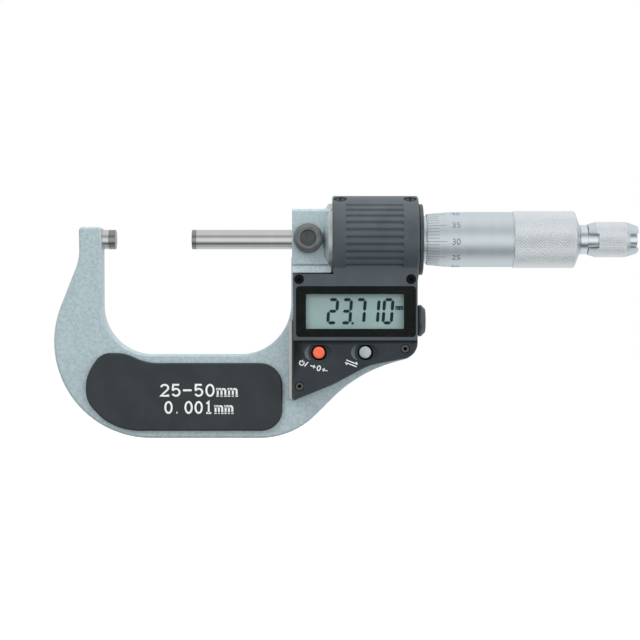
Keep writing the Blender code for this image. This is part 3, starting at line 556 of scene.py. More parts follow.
def letters(name, text, width, height, weight=0.0):
    """Thin raised glyphs centred on the origin in the X-Y plane, fitted to a width and height."""
    curve = bpy.data.curves.new(name, "FONT")
    curve.body = text
    curve.extrude = 0.5
    curve.offset = weight
    curve.resolution_u = 4
    source = new_object(name, curve)
    bpy.context.view_layer.update()
    evaluated = source.evaluated_get(bpy.context.evaluated_depsgraph_get())
    mesh = bpy.data.meshes.new_from_object(evaluated)
    bpy.data.objects.remove(source, do_unlink=True)
    with editing(mesh) as shape:
        bmesh.ops.remove_doubles(shape, verts=shape.verts, dist=1e-5)
        lows = [min(v.co[i] for v in shape.verts) for i in range(2)]
        highs = [max(v.co[i] for v in shape.verts) for i in range(2)]
        sizes = (width, height)
        for vertex in shape.verts:
            for i in range(2):
                share = (vertex.co[i] - lows[i]) / (highs[i] - lows[i]) - 0.5
                vertex.co[i] = share * sizes[i] * MM
            vertex.co[2] *= PRINT * MM
    return mesh


def arc(x, y, across, up, start, end):
    """Points on an ellipse's arc between two angles in degrees."""
    pieces = max(4, round(abs(end - start) / 12))
    angles = [math.radians(start + (end - start) * i / pieces) for i in range(pieces + 1)]
    return [(x + across * math.cos(a), y + up * math.sin(a)) for a in angles]


# Strokes of typewriter figures: x is -0.5 to 0.5 across the figure, y is 0 to 1 up it.
FIGURES = {
    "0": [arc(0, 0.5, 0.42, 0.5, 0, 360)],
    "1": [[(-0.3, 0.84), (0, 1), (0, 0)], [(-0.32, 0), (0.32, 0)]],
    "2": [arc(0, 0.72, 0.42, 0.28, 165, -35) + [(-0.42, 0), (0.42, 0), (0.42, 0.12)]],
    "5": [[(0.36, 1), (-0.33, 1), (-0.37, 0.56)] + arc(0, 0.32, 0.42, 0.32, 140, -155)],
    "-": [[(-0.5, 0.5), (0.5, 0.5)]],
    ".": [[(-0.28, 0.03), (-0.16, 0.03)]],
    "m": [
        [(-0.6, 0.62), (-0.42, 0.62), (-0.42, 0)],
        arc(-0.2, 0.45, 0.22, 0.17, 170, 0) + [(0.02, 0)],
        arc(0.24, 0.45, 0.22, 0.17, 170, 0) + [(0.46, 0)],
        [(-0.58, 0), (-0.28, 0)],
        [(-0.1, 0), (0.14, 0)],
        [(0.32, 0), (0.62, 0)],
    ],
}
FIGURE_WIDTH = 0.76  # of the pitch


def typed(name, text, pitch, height, width):
    """A line of figures at an even pitch, its middle at x = 0 and its foot at y = 0."""
    shapes = []
    reach = FIGURE_WIDTH * pitch
    rise = height - width
    for index, figure in enumerate(text):
        x = (index - (len(text) - 1) / 2) * pitch
        for line in FIGURES[figure]:
            points = [(x + across * reach, up * rise + width / 2) for across, up in line]
            shapes.append(stroke(points, width))
    return marks(name, shapes)


def wrap(mesh, x, radius, angle):
    """Bend a flat mark round the measuring axis; the angle is above straight forward."""
    with editing(mesh) as shape:
        low = min(v.co.y for v in shape.verts)
        high = max(v.co.y for v in shape.verts)
        pieces = max(1, round((high - low) / (WRAP_STEP * MM)))
        for i in range(1, pieces):
            everything = shape.verts[:] + shape.edges[:] + shape.faces[:]
            spot = (0, low + (high - low) * i / pieces, 0)
            bmesh.ops.bisect_plane(shape, geom=everything, plane_co=spot, plane_no=(0, 1, 0))
        for vertex in shape.verts:
            along, across, height = vertex.co / MM
            turn = angle + across / radius
            reach = radius + height
            vertex.co = Vector((x + along, -reach * math.cos(turn), reach * math.sin(turn))) * MM
    return mesh


def on_front(mesh, x, y, z, turn=0.0):
    """Stand a flat mark up to face the front at a place, turned in its own plane by degrees."""
    spot = Matrix.Translation(Vector((x, y, z)) * MM)
    stand = Matrix.Rotation(math.radians(90), 4, "X")
    mesh.transform(spot @ stand @ Matrix.Rotation(math.radians(turn), 4, "Z"))
    return mesh


# ---- bow, anvil and grips

WEB_HALF = 4.5  # half the bow's thickness
ANVIL_BORE = 3.37  # radius, as in the two below
SPINDLE_BORE = 5.2
LOCK_BORE = 2.5
FRAME_OUTLINE = [
    (-4.4, 4.0, 1.0), (-12.0, 4.0, 1.3), (-11.8, -6.5, 15.0), (-35.0, -65.9, 32.0),
    (58.8, -65.9, 26.0), (80.7, -44.0, 46.0), (97.5, -39.4, 1.05), (97.5, -37.4, 1.05),
    (76.0, -37.4, 2.0), (76.0, -6.0, 0.0), (58.4, -6.0, 0.0), (58.4, -38.2, 17.0),
    (-4.2, -38.2, 16.3),
]
GRIP_OUTLINE = [
    (55.5, -41.0, 7.5), (10.9, -41.0, 17.0), (3.4, -37.7, 11.0), (-4.4, -37.7, 5.6),
    (-9.4, -45.2, 13.0), (-9.4, -53.6, 9.0), (-3.2, -60.2, 15.0), (4.3, -63.4, 20.0),
    (55.5, -63.4, 7.0),
]
MARK_MIDDLE_X = 27.9
MARK_HEIGHT = 4.25
MARK_STROKE = 0.62
GRIP_MARKS = (  # name, text, the height of its foot and the pitch of its figures
    ("range_mark", "25-50mm", -52.1, 3.74),
    ("step_mark", "0.001mm", -57.75, 3.31),
)
SPIGOT = [
    (66.0, 3.0), (66.0, 7.8), (68.2, 7.8, 1.0), (69.0, 8.3, 1.0), (69.5, 10.1, 1.2),
    (70.7, 11.9, 0.5), (76.4, 12.3), (76.4, 3.0),
]
LEDGE = (57.6, -53.0, 58.9, -26.7)  # the raised edge of the arm, beside the housing
LEDGE_HALF = 5.8
LOCK_X = 64.0


def on_ledge(spot, normal):
    within = LEDGE[0] < spot.x < LEDGE[2] and LEDGE[1] < spot.z < LEDGE[3]
    return within and abs(spot.y) > LEDGE_HALF - 0.4 and abs(normal.y) > 0.5


def on_rim(spot):
    """The round rim of the spigot that shows beside the drum; it gets a lighter metal tone as a painted
    highlight.
    """
    return spot.x > 70.7 and math.hypot(spot.y, spot.z) > 11.5 and spot.z > -11.8


def on_lower_strip(spot, normal):
    """The sloping land along the foot of the spindle block, which gets a lighter copy of the enamel as
    a painted highlight.
    """
    return abs(spot.y) > 7.3 and -11.4 < spot.z < -9.0 and abs(normal.y) > 0.8 and normal.z > 0.15


def make_frame():
    bow = plate("frame_enamel", FRAME_OUTLINE, WEB_HALF, -WEB_HALF, 0.9, FINE_ARC_STEP)
    cross_section = [
        (-8.0, 9.8, 1.2), (8.0, 9.8, 1.2), (8.0, -8.4, 0.6), (7.4, -9.0, 0.3),
        (8.2, -11.4, 0.3), (-8.2, -11.4, 0.3), (-7.4, -9.0, 0.3), (-8.0, -8.4, 0.6),
    ]
    spindle_block = plate("block", cross_section, -58.7, -71.8, 1.0)
    spindle_block.data.transform(Matrix.Rotation(math.radians(90), 4, "Z"))
    ledge = plate("ledge", rectangle(*LEDGE, radius=0.3), LEDGE_HALF, -LEDGE_HALF, 0.5)
    join(bow, spindle_block, turned("spigot", SPIGOT), ledge)
    tools = [
        rod("anvil_bore", ANVIL_BORE, -9.8, -2.0),
        rod("spindle_bore", SPINDLE_BORE, 50.0, 90.0, steps=72),
        rod("lock_bore", LOCK_BORE, 4.0, 12.0, "-y", (LOCK_X, 0, 0)),
    ]
    cut(bow, *tools)
    dress(bow, "frame_paint", "frame_body", "frame_paint", "frame")
    # painted highlight: the lighter metal tone on the ledge's faces and the spigot's rim
    also(bow, "ledge_painted_highlight", lambda spot, normal: on_ledge(spot, normal) or on_rim(spot))
    # painted highlight: the lighter enamel copy goes on the land, which faces up
    also(bow, "frame_paint_lit", on_lower_strip)


def make_anvil():
    shank = pin("anvil_shank", "anvil", left=0.3)
    dress(shank, "ground_steel", "frame_body", "ground_steel", "anvil")
    tip = pin("anvil_face_tip", "anvil_tip", right=0.25)
    dress(tip, "carbide", "frame_body", "carbide", "anvil_tip")


def make_grips():
    for node in ("front_grip_plate", "rear_grip_plate"):
        low, high = span(node)
        grip = plate(node + "_moulded", GRIP_OUTLINE, high.y, low.y, 0.7, FINE_ARC_STEP)
        dress(grip, "grip_plastic", "frame_body", "grip_plastic", node)
    front = span("front_grip_plate")[0].y
    for name, text, z, pitch in GRIP_MARKS:
        mesh = on_front(typed(name, text, pitch, MARK_HEIGHT, MARK_STROKE), MARK_MIDDLE_X, front, z)
        dress(new_object(name, mesh), "white_ink", "frame_body", "grip_plastic")


# ---- housing

FRONT = 10.8  # distance of the housing's flat front from the middle plane
INSIDE = 9.2  # the same of the cavity's wall
PARTING = 0.1  # half the gap between the two shells
SHELL_EDGE = 0.45
HOUSING_OUTLINE = [
    (59.1, -11.7, 1.0), (59.1, -53.3, 0.3), (72.4, -47.9, 35.0), (83.9, -41.7, 15.0),
    (99.9, -38.7, 5.4), (99.9, -8.6), (72.2, -8.6), (72.2, -11.7),
]
CAVITY_OUTLINE = [
    (60.9, -13.5), (60.9, -50.1), (71.8, -46.5, 30.0), (83.4, -40.4, 12.0),
    (98.1, -37.4, 3.6), (98.1, -7.8), (73.8, -7.8), (73.8, -13.5),
]
FRAME_ROOM = [(50.0, -9.0), (50.0, -72.0), (97.8, -72.0), (97.8, -37.1), (76.3, -37.1), (76.3, -9.0)]
STEP_Z = -33.6  # below it the front is the lower panel, which lies deeper
STEP_DEPTH = 0.4
LOWER_FRONT = FRONT - STEP_DEPTH
UPPER_FRONT_OUTLINE = [  # a hair inside the housing's outline, so that no two walls coincide
    (59.12, -11.72, 1.0), (59.12, STEP_Z), (99.88, STEP_Z), (99.88, -8.62), (72.22, -8.62),
    (72.22, -11.72),
]
DISH_RADIUS = 2.5
DISH_REACH = 1.9  # from the middle of the dish to the middle of each round end
DISH_DEPTH = 0.6
DISH_SHIFT = -0.3  # the dish's middle stands left of its button's
BUTTON_HOLE = 2.5  # radius
DRUM_RADIUS = 14.5
DRUM_BORE = 12.7
DRUM = (72.0, 100.4)  # its ends along X
GROOVES = (76.3, 95.2)
GROOVE_ANGLES = [48.7 - 9.8 * i for i in range(10)]  # degrees above straight forward
BUTTONS = ("power_button", "unit_button")
BUTTON_MIDDLES = [middle(name) for name in BUTTONS]
COVER_SCREWS = ["cover_screw_1", "cover_screw_2", "cover_screw_3", "cover_screw_4"]
OVER_FRAME = ("cover_screw_1", "cover_screw_4")
# these two screws' heads get a near-black painted shade for their dark counterbores
SCREWS_IN_SHADE = ("cover_screw_1", "cover_screw_2")
POST_RADIUS = 1.85
SOCKET_RADIUS = 0.66
COUNTERBORE = [
    (-0.7, 0), (-0.7, 1.0), (9.3, 1.0), (9.3, 1.55), (10.55, 1.55),
    (10.9, 1.85), (14.0, 1.85), (14.0, 0),
]
BLIND_HOLE = [(-0.7, 0), (-0.7, 1.0), (4.2, 1.0), (4.2, 0)]
DRUM_SCREWS = ("drum_screw_1", "drum_screw_2")
DRUM_SCREW_LEAN = 25.0  # degrees forward of straight up
DRUM_HOLE = [(11.0, 0), (11.0, 1.0), (13.2, 1.0), (13.2, 2.15), (16.0, 2.15), (16.0, 0)]
BATTERY_Z = -27.0
CAP_HOLE = 4.5  # radius
LCD_VIEW = (63.3, -29.7, 95.4, -18.3)  # low x and z, high x and z


def grooved_drum():
    start, end = DRUM
    middles = [180.0 - angle for angle in GROOVE_ANGLES] + GROOVE_ANGLES
    grooves = Grooves(*GROOVES, DRUM_RADIUS, middles)
    profile = [
        (start, 0),
        (start, DRUM_RADIUS, 0.7),
        *grooves.corners(),
        (end, DRUM_RADIUS, 0.7),
        (end, 0),
    ]
    return turned("drum", profile, relief=grooves)


def leaning(piece):
    """Swing a tool made along the straight-up direction to the lean of the drum screws."""
    piece.data.transform(Matrix.Rotation(math.radians(DRUM_SCREW_LEAN), 4, "X"))
    return piece


def upright(name, corners, x, steps=48):
    """A turned piece standing on the measuring axis at x, its heights measured from the axis."""
    piece = turned(name, corners, "-y", steps=steps)
    stand = Matrix.Rotation(math.radians(-90), 4, "X")
    piece.data.transform(Matrix.Translation((x * MM, 0, 0)) @ stand)
    return piece


def finger_dish(name, x, z):
    """The shallow hollow with round ends about a button."""
    mesh = bpy.data.meshes.new(name)
    radii = Vector((DISH_RADIUS, DISH_DEPTH, DISH_RADIUS))
    spot = Vector((x + DISH_SHIFT, -LOWER_FRONT, z))
    with editing(mesh) as shape:
        bmesh.ops.create_uvsphere(shape, u_segments=48, v_segments=24, radius=1.0)
        bmesh.ops.scale(shape, vec=radii * MM, verts=shape.verts)
        for vertex in shape.verts:
            if abs(vertex.co.x) > 1e-6:
                vertex.co.x += math.copysign(DISH_REACH * MM, vertex.co.x)
        bmesh.ops.translate(shape, vec=spot * MM, verts=shape.verts)
    return new_object(name, mesh)


def front_tools():
    window_low, window_high = span("display_window")
    window = (window_low.x, window_low.z, window_high.x, window_high.z)
    tools = [
        plate("window_rebate", rectangle(*window, radius=1.2, grow=0.2), -FRONT + 1.2, -FRONT - 1.0),
        plate("lcd_opening", rectangle(*LCD_VIEW), -FRONT + 4.0, -FRONT - 1.0),
    ]
    for node, spot in zip(BUTTONS, BUTTON_MIDDLES):
        tools.append(rod(node + "_hole", BUTTON_HOLE, 8.0, 12.0, "-y", seat(node)))
        tools.append(finger_dish(node + "_dish", spot.x, spot.z))
    for name in DRUM_SCREWS:
        tools.append(leaning(upright("drum_hole", DRUM_HOLE, middle(name).x)))
    return tools


def on_lower_front(spot, normal):
    return normal.y < -0.9 and abs(spot.y + LOWER_FRONT) < 0.01


def from_button(spot):
    """Distance, seen from the front, to the middle of the nearer button."""
    return min(math.hypot(spot.x - at.x, spot.z - at.z) for at in BUTTON_MIDDLES)


def in_finger_dish(spot, normal):
    near = from_button(spot) < DISH_RADIUS + DISH_REACH + 0.6
    return near and LOWER_FRONT - 0.8 < -spot.y < LOWER_FRONT - 0.01


def on_dish_side(spot, normal):
    """The left side of a dish, which faces right; it is painted lighter as a painted highlight of light
    from the right.
    """
    return in_finger_dish(spot, normal) and normal.x > 0.12


# the walls of the button holes get a near-black painted shade
def in_button_hole(spot, normal):
    return from_button(spot) < BUTTON_HOLE + 0.02 and abs(normal.y) < 0.3


def make_housing():
    start, end = DRUM
    for node, side in (("housing_front", 1), ("housing_rear", -1)):
        front = LOWER_FRONT if side > 0 else FRONT
        shell = plate(node + "_moulded", HOUSING_OUTLINE, FRONT, -front, SHELL_EDGE, FINE_ARC_STEP)
        raised = [grooved_drum()]
        if side > 0:
            upper_front = plate("upper_front", UPPER_FRONT_OUTLINE, 0.0, -FRONT, 0.35, FINE_ARC_STEP)
            raised.insert(0, upper_front)
        join(shell, *raised)
        cavity = plate("cavity", CAVITY_OUTLINE, INSIDE, -INSIDE)
        cut(shell, cavity, rod("drum_bore", DRUM_BORE, start - 1.0, end + 1.0, steps=144))
        posts = []
        for name in COVER_SCREWS:
            inner = WEB_HALF + 0.2 if name in OVER_FRAME else -1.0
            low, high = sorted((side * inner, side * (FRONT - 0.8)))
            posts.append(rod("post", POST_RADIUS, low, high, "-y", seat(name)))
        join(shell, *posts)
        far = (-PARTING, 40.0) if side > 0 else (-40.0, PARTING)
        tools = [
            plate("frame_room", FRAME_ROOM, WEB_HALF + 0.3, -WEB_HALF - 0.3),
            block("other_half", (40.0, far[0], -80.0), (120.0, far[1], 30.0)),
            rod("cap_hole", CAP_HOLE, 96.0, 104.0, place=(0, 0, BATTERY_Z)),
        ]
        for name in COVER_SCREWS:
            heights = COUNTERBORE if side > 0 or name in OVER_FRAME else BLIND_HOLE
            corners = [(side * height, radius) for height, radius in heights]
            tools.append(turned("screw_hole", corners, "-y", seat(name), 40))
        if side > 0:
            tools += front_tools()
        cut(shell, *tools)
        dress(shell, "housing_plastic", "frame_body", "housing_plastic", node)
        if side > 0:
            also(shell, "housing_panel", on_lower_front)
            also(shell, "housing_panel", in_finger_dish)
            # painted highlight: the lighter plastic on the dish sides that face right
            also(shell, "dish_lit_side", on_dish_side)
            also(shell, "painted_hollow_shade", in_button_hole)


def make_screws():
    for name in COVER_SCREWS + ["rear_screw_1", "rear_screw_2"]:
        low, high = span(name)
        spot = middle(name)
        side = 1 if name in COVER_SCREWS else -1  # its head is in front, or behind
        tip, top = (-high.y, -low.y) if side > 0 else (low.y, high.y)
        neck = top - 0.95
        profile = [(tip, 0), (tip, 0.8), (neck, 0.8), (neck, 1.4), (top, 1.4, 0.25), (top, 0)]
        corners = [(side * height, *rest) for height, *rest in profile]
        screw = turned(name + "_machined", corners, "-y", seat(name))
        ends = sorted((side * (top - 0.85), side * (top + 1.0)))
        cut(screw, rod("socket", SOCKET_RADIUS, *ends, "-y", seat(name), 6))
        # painted shade on the two screw heads in the dark counterbores
        look = "screw_head_shade" if name in SCREWS_IN_SHADE else "screw_steel"
        dress(screw, look, "frame_body", "screw_steel", name)
        head = Vector((spot.x, -side * top, spot.z))

        def in_socket(at, normal):
            near = math.hypot(at.x - head.x, at.z - head.z) < SOCKET_RADIUS
            return near and 0.1 < abs(at.y - head.y) < 0.9

        # painted shade: the hex socket is painted near-black
        also(screw, "painted_hollow_shade", in_socket)
    for name in DRUM_SCREWS:
        x = middle(name).x
        corners = [(9.0, 0), (9.0, 0.8), (13.35, 0.8), (13.35, 1.95), (14.2, 1.95, 0.35), (14.2, 0)]
        slot = block("slot", (x - 0.28, -3.0, 13.75), (x + 0.28, 3.0, 16.0))
        screw = cut(upright(name + "_machined", corners, x), slot)
        dress(leaning(screw), "drum_screw_steel", "frame_body", "screw_steel", name)


# ---- display, buttons and battery cap

DIGIT_BARS = {
    "0": "abcdef",
    "1": "bc",
    "2": "abged",
    "3": "abgcd",
    "7": "abc",
}
READING = "23710"
DIGIT_WIDTH = 3.75
DIGIT_HEIGHT = 8.65
DIGIT_PITCH = 4.53
DIGIT_BAR = 1.04  # width of a bar
DIGIT_GAP = 0.12  # half the gap between two bars
DIGIT_SLANT = 0.075  # shift along X for each millimetre up
READING_LEFT = 70.2
READING_BOTTOM = -28.25
POINT_WIDTH = 0.8
POINT_HEIGHT = 0.75
PANE = 0.14  # thickness of the clear pane, which a hair parts from the border
UNIT_X = 93.95
UNIT_Z = -22.85
UNIT_WEIGHT = 0.062


def bar(a, b, width):
    """A six-cornered bar between two points."""
    a, b = Vector(a), Vector(b)
    ahead = (b - a).normalized() * (width / 2)
    side = Vector((-ahead.y, ahead.x))
    return [a, a + ahead + side, b - ahead + side, b, b - ahead - side, a + ahead - side]


def digit_bars(digit):
    left, right = DIGIT_BAR / 2, DIGIT_WIDTH - DIGIT_BAR / 2
    low, mid, high = DIGIT_BAR / 2, DIGIT_HEIGHT / 2, DIGIT_HEIGHT - DIGIT_BAR / 2
    gap = DIGIT_GAP
    ends = {
        "a": ((left + gap, high), (right - gap, high)),
        "b": ((right, high - gap), (right, mid + gap)),
        "c": ((right, mid - gap), (right, low + gap)),
        "d": ((left + gap, low), (right - gap, low)),
        "e": ((left, mid - gap), (left, low + gap)),
        "f": ((left, high - gap), (left, mid + gap)),
        "g": ((left + gap, mid), (right - gap, mid)),
    }
    return [bar(*ends[name], DIGIT_BAR) for name in DIGIT_BARS[digit]]


def make_display():
    low, high = span("display_window")
    outline = rectangle(low.x, low.z, high.x, high.z, 1.0)
    border = plate("window_border", outline, high.y, low.y + PANE + 0.01)
    cut(border, plate("view", rectangle(*LCD_VIEW, radius=0.25), high.y + 1.0, low.y - 1.0))
    dress(border, "window", "frame_body", "window", "display_window")
    pane = plate("window_pane", outline, low.y + PANE, low.y, 0.05)
    dress(pane, "clear_pane", "frame_body", "window")
    lcd_low, lcd_high = span("lcd_panel")
    dress(block("lcd_cell", lcd_low, lcd_high, 0.1), "lcd", "frame_body", "lcd", "lcd_panel")
    shapes = []
    for index, digit in enumerate(READING):
        left = READING_LEFT + index * DIGIT_PITCH
        for flat in digit_bars(digit):
            slanted = [(left + x + (z - DIGIT_HEIGHT / 2) * DIGIT_SLANT, z) for x, z in flat]
            shapes.append(prism([(x, READING_BOTTOM + z) for x, z in slanted]))
    left = READING_LEFT + 2 * DIGIT_PITCH - 1.05
    right = left + POINT_WIDTH
    top = READING_BOTTOM + POINT_HEIGHT
    shapes.append(prism([(left, READING_BOTTOM), (right, READING_BOTTOM), (right, top), (left, top)]))
    mesh = on_front(marks("lcd_reading", shapes), 0, lcd_low.y, 0)
    dress(new_object("lcd_reading", mesh), "lcd_ink", "frame_body", "lcd")
    unit = on_front(letters("lcd_unit", "mm", 2.6, 1.4, UNIT_WEIGHT), UNIT_X, lcd_low.y, UNIT_Z)
    dress(new_object("lcd_unit", unit), "lcd_ink", "frame_body", "lcd")


def make_buttons():
    for node, look in (("power_button", "red_plastic"), ("unit_button", "grey_plastic")):
        top = -span(node)[0].y
        corners = [
            (8.1, 0), (8.1, 1.0), (8.4, 1.0), (8.4, 2.6), (8.9, 2.6),
            (8.9, 1.95), (top - 0.12, 1.95, 0.4), (top, 1.1, 2.0), (top - 0.06, 0),
        ]
        cap = turned(node + "_moulded", corners, "-y", seat(node), 64)
        dress(cap, look, node + "_body", look, node)
        # painted shade: the part of the button down inside its hole is painted near-black
        also(cap, "painted_hollow_shade", lambda at, normal: at.y > -9.0)
    lines = [
        arc(-4.1, -0.05, 0.75, 0.75, 125, 415),  # a power sign
        [(-4.1, 0.15), (-4.1, 0.95)],
        [(-2.9, -0.85), (-2.2, 0.85)],
        [(-1.2, 0), (0.4, 0)],  # two arrows towards a zero
        [(-0.1, 0.5), (0.45, 0), (-0.1, -0.5)],
        arc(1.75, 0, 0.5, 0.8, 0, 360),
        [(4.7, 0), (3.1, 0)],
        [(3.6, 0.5), (3.05, 0), (3.6, -0.5)],
    ]
    button_mark("power_mark", lines, (65.84, -42.05), -18.0)
    lines = [
        [(-2.0, 0.42), (1.9, 0.42)],
        [(1.2, 1.0), (2.0, 0.42)],
        [(2.0, -0.42), (-1.9, -0.42)],
        [(-1.2, -1.0), (-2.0, -0.42)],
    ]
    button_mark("unit_mark", lines, (78.2, -41.0), -22.0)


def button_mark(name, lines, place, turn):
    """A sign of straight and round strokes, printed on the lower panel under its button."""
    mesh = marks(name, [stroke(line, 0.32) for line in lines])
    on_front(mesh, place[0], -LOWER_FRONT, place[1], turn)
    dress(new_object(name, mesh), "white_ink", "frame_body", "housing_plastic")


def make_battery_cap():
    place = (0, 0, BATTERY_Z)
    corners = [
        (98.6, 0), (98.6, 4.3, 0.3), (100.7, 4.3), (100.7, 5.25, 0.1), (101.5, 5.25, 0.4),
        (102.9, 3.9, 0.6), (102.9, 0),
    ]
    cap = turned("battery_cap_moulded", corners, place=place, steps=72)
    slot = block("coin_slot", (102.1, -0.6, BATTERY_Z - 5.0), (104.0, 0.6, BATTERY_Z + 5.0))
    dress(cut(cap, slot), "cap_plastic", "cap_body", "cap_plastic", "battery_cap")
    low, high = span("battery_cap_seal")
    seal = turned(
        "battery_cap_o_ring",
        [(low.x, 4.45, 0.2), (low.x, 5.15, 0.2), (high.x, 5.15, 0.2), (high.x, 4.45, 0.2)],
        place=place,
        steps=64,
    )
    dress(seal, "rubber", "cap_seal_body", "rubber", "battery_cap_seal")


# ---- spindle, lock, thimble and ratchet

THIMBLE_START = 103.2
THIMBLE_RADIUS = 9.17
CONE_END = 111.0
CONE_START_RADIUS = 8.45
KNURL_FROM = 131.9
KNURL_RADIUS = 9.5
DIVISIONS = 50
NUMBER_AT_FRONT = 30
NUMBER_X = 112.7  # the middle of the thimble's numbers
FRONT_ANGLE = -6.9  # degrees above straight forward of the line with that number
RATCHET_RADIUS = 5.93
NOTCH_TURN = 8.0  # degrees


def make_lock():
    corners = [
        (6.8, 0), (6.8, 2.2), (8.5, 2.2), (8.5, 4.85, 0.15), (12.0, 4.85, 1.0),
        (13.0, 3.3, 0.8), (12.75, 2.62, 0.1), (12.15, 2.45, 0.15), (12.05, 1.6, 0.6),
        (12.45, 0),
    ]
    knob = turned("lock_knob_machined", corners, "-y", (LOCK_X, 0, 0))
    dress(knob, "lock_steel", "lock_knob_body", "lock_steel", "lock_knob")
    # painted shade: the recessed hub gets the darker copy of the knob steel
    also(
        knob,
        "lock_hub_shade",
        lambda spot, normal: spot.y < -12.0 and Vector((spot.x - LOCK_X, spot.z)).length < 2.6,
    )


def make_spindle():
    tip = pin("spindle_face_tip", "spindle_tip", left=0.25)
    dress(tip, "carbide", "spindle_body", "carbide", "spindle_tip")
    low, high = span("spindle")
    radius = span("spindle_tip")[1].z
    corners = [
        (low.x, 0), (low.x, radius), (108.6, radius), (109.0, 3.6), (147.2, 3.6),
        (147.8, 3.9), (high.x, 3.9), (high.x, 1.8), (148.8, 1.8), (148.8, 0),
    ]
    spindle = turned("spindle_ground", corners)
    keyway = block("keyway", (60.0, 2.4, -0.55), (92.0, 4.5, 0.55))
    dress(cut(spindle, keyway), "ground_steel", "spindle_body", "ground_steel", "spindle")


def make_sleeve():
    low, high = span("outer_sleeve")
    corners = [(low.x, 5.8), (low.x, high.z, 0.15), (high.x, high.z, 0.15), (high.x, 5.8)]
    sleeve = turned("outer_sleeve_turned", corners)
    dress(sleeve, "sleeve_chrome", "frame_body", "satin_chrome", "outer_sleeve")
    shapes = []
    for index in range(51):  # a line every half millimetre over 25 mm
        x = THIMBLE_START - 0.3 + index / 2
        length = 1.6 if index % 2 else (2.4 if index % 10 else 3.2)
        side = -1 if index % 2 else 1
        shapes.append(stroke([(x, side * 0.1), (x, side * length)], 0.14))
    shapes.append(stroke([(THIMBLE_START - 0.5, 0.0), (129.2, 0.0)], 0.16))
    mesh = wrap(marks("sleeve_scale", shapes), 0, high.z, math.radians(FRONT_ANGLE))
    dress(new_object("sleeve_scale", mesh), "dark_ink", "frame_body", "satin_chrome")
    low, high = span("drum_end_ring")
    corners = [
        (low.x, 8.1), (low.x, high.z, 0.25), (101.05, high.z), (high.x, high.z, 0.4),
        (high.x, 8.1),
    ]
    ring = turned("drum_end_ring_turned", corners)
    dress(ring, "cap_plastic", "frame_body", "grip_plastic", "drum_end_ring")
    # painted reflection: the ring's left band gets the lighter knob steel
    also(ring, "lock_steel", lambda spot, normal: spot.x < 101.0)


def cone_radius(x):
    share = (x - THIMBLE_START) / (CONE_END - THIMBLE_START)
    return CONE_START_RADIUS + (THIMBLE_RADIUS - CONE_START_RADIUS) * min(1.0, share)


def scale_line(angle, start, end, width):
    """A closed thin strip along the thimble's cone, as (points, faces)."""
    points = []
    half = width / 2 / THIMBLE_RADIUS
    for x in (start, end):
        for turn in (angle - half, angle + half):
            for depth in (-PRINT, PRINT / 3):
                reach = cone_radius(x) + depth
                points.append((x, -reach * math.cos(turn), reach * math.sin(turn)))
    return points, [[0, 1, 3, 2], [4, 6, 7, 5], [0, 4, 5, 1], [2, 3, 7, 6], [1, 5, 7, 3], [0, 2, 6, 4]]


def make_thimble():
    knurl = Knurl(KNURL_FROM + 0.2, 152.1, KNURL_RADIUS, 50, 1.1, 0.17)
    corners = [
        (THIMBLE_START, 8.1), (THIMBLE_START, CONE_START_RADIUS, 0.08),
        (CONE_END, THIMBLE_RADIUS, 8.0), (131.4, THIMBLE_RADIUS, 0.06), (131.5, 8.92),
        (131.8, 8.92),
        *knurl.corners(),
        (152.5, 9.0, 0.2), (153.0, 7.6, 0.4), (154.0, 5.2, 0.2), (154.0, 4.1),
        (147.6, 4.1), (147.6, 8.1),
    ]
    thimble = turned("thimble_turned", corners, relief=knurl)
    dress(thimble, "satin_chrome", "spindle_body", "satin_chrome", "thimble", sharp=20.0)
    # painted light: the knurl gets the brighter copy of the chrome
    also(thimble, "knurl_lit_chrome", lambda spot, normal: KNURL_FROM < spot.x < 152.3)
    shapes, numbers = [], []
    for division in range(DIVISIONS):
        angle = math.radians(FRONT_ANGLE + (division - NUMBER_AT_FRONT) * 360 / DIVISIONS)
        long_line = division % 5 == 0
        shapes.append(scale_line(angle, THIMBLE_START + 0.12, 109.6 if long_line else 107.2, 0.15))
        if long_line:
            width = 2.7 if division >= 10 else 1.25
            mesh = letters("number", str(division), width, 2.1)
            numbers.append(wrap(mesh, NUMBER_X, THIMBLE_RADIUS, angle))
    lines = new_object("thimble_scale", marks("thimble_scale", shapes))
    dress(lines, "dark_ink", "spindle_body", "satin_chrome")
    dress(merged("thimble_numbers", numbers), "dark_ink", "spindle_body", "satin_chrome")


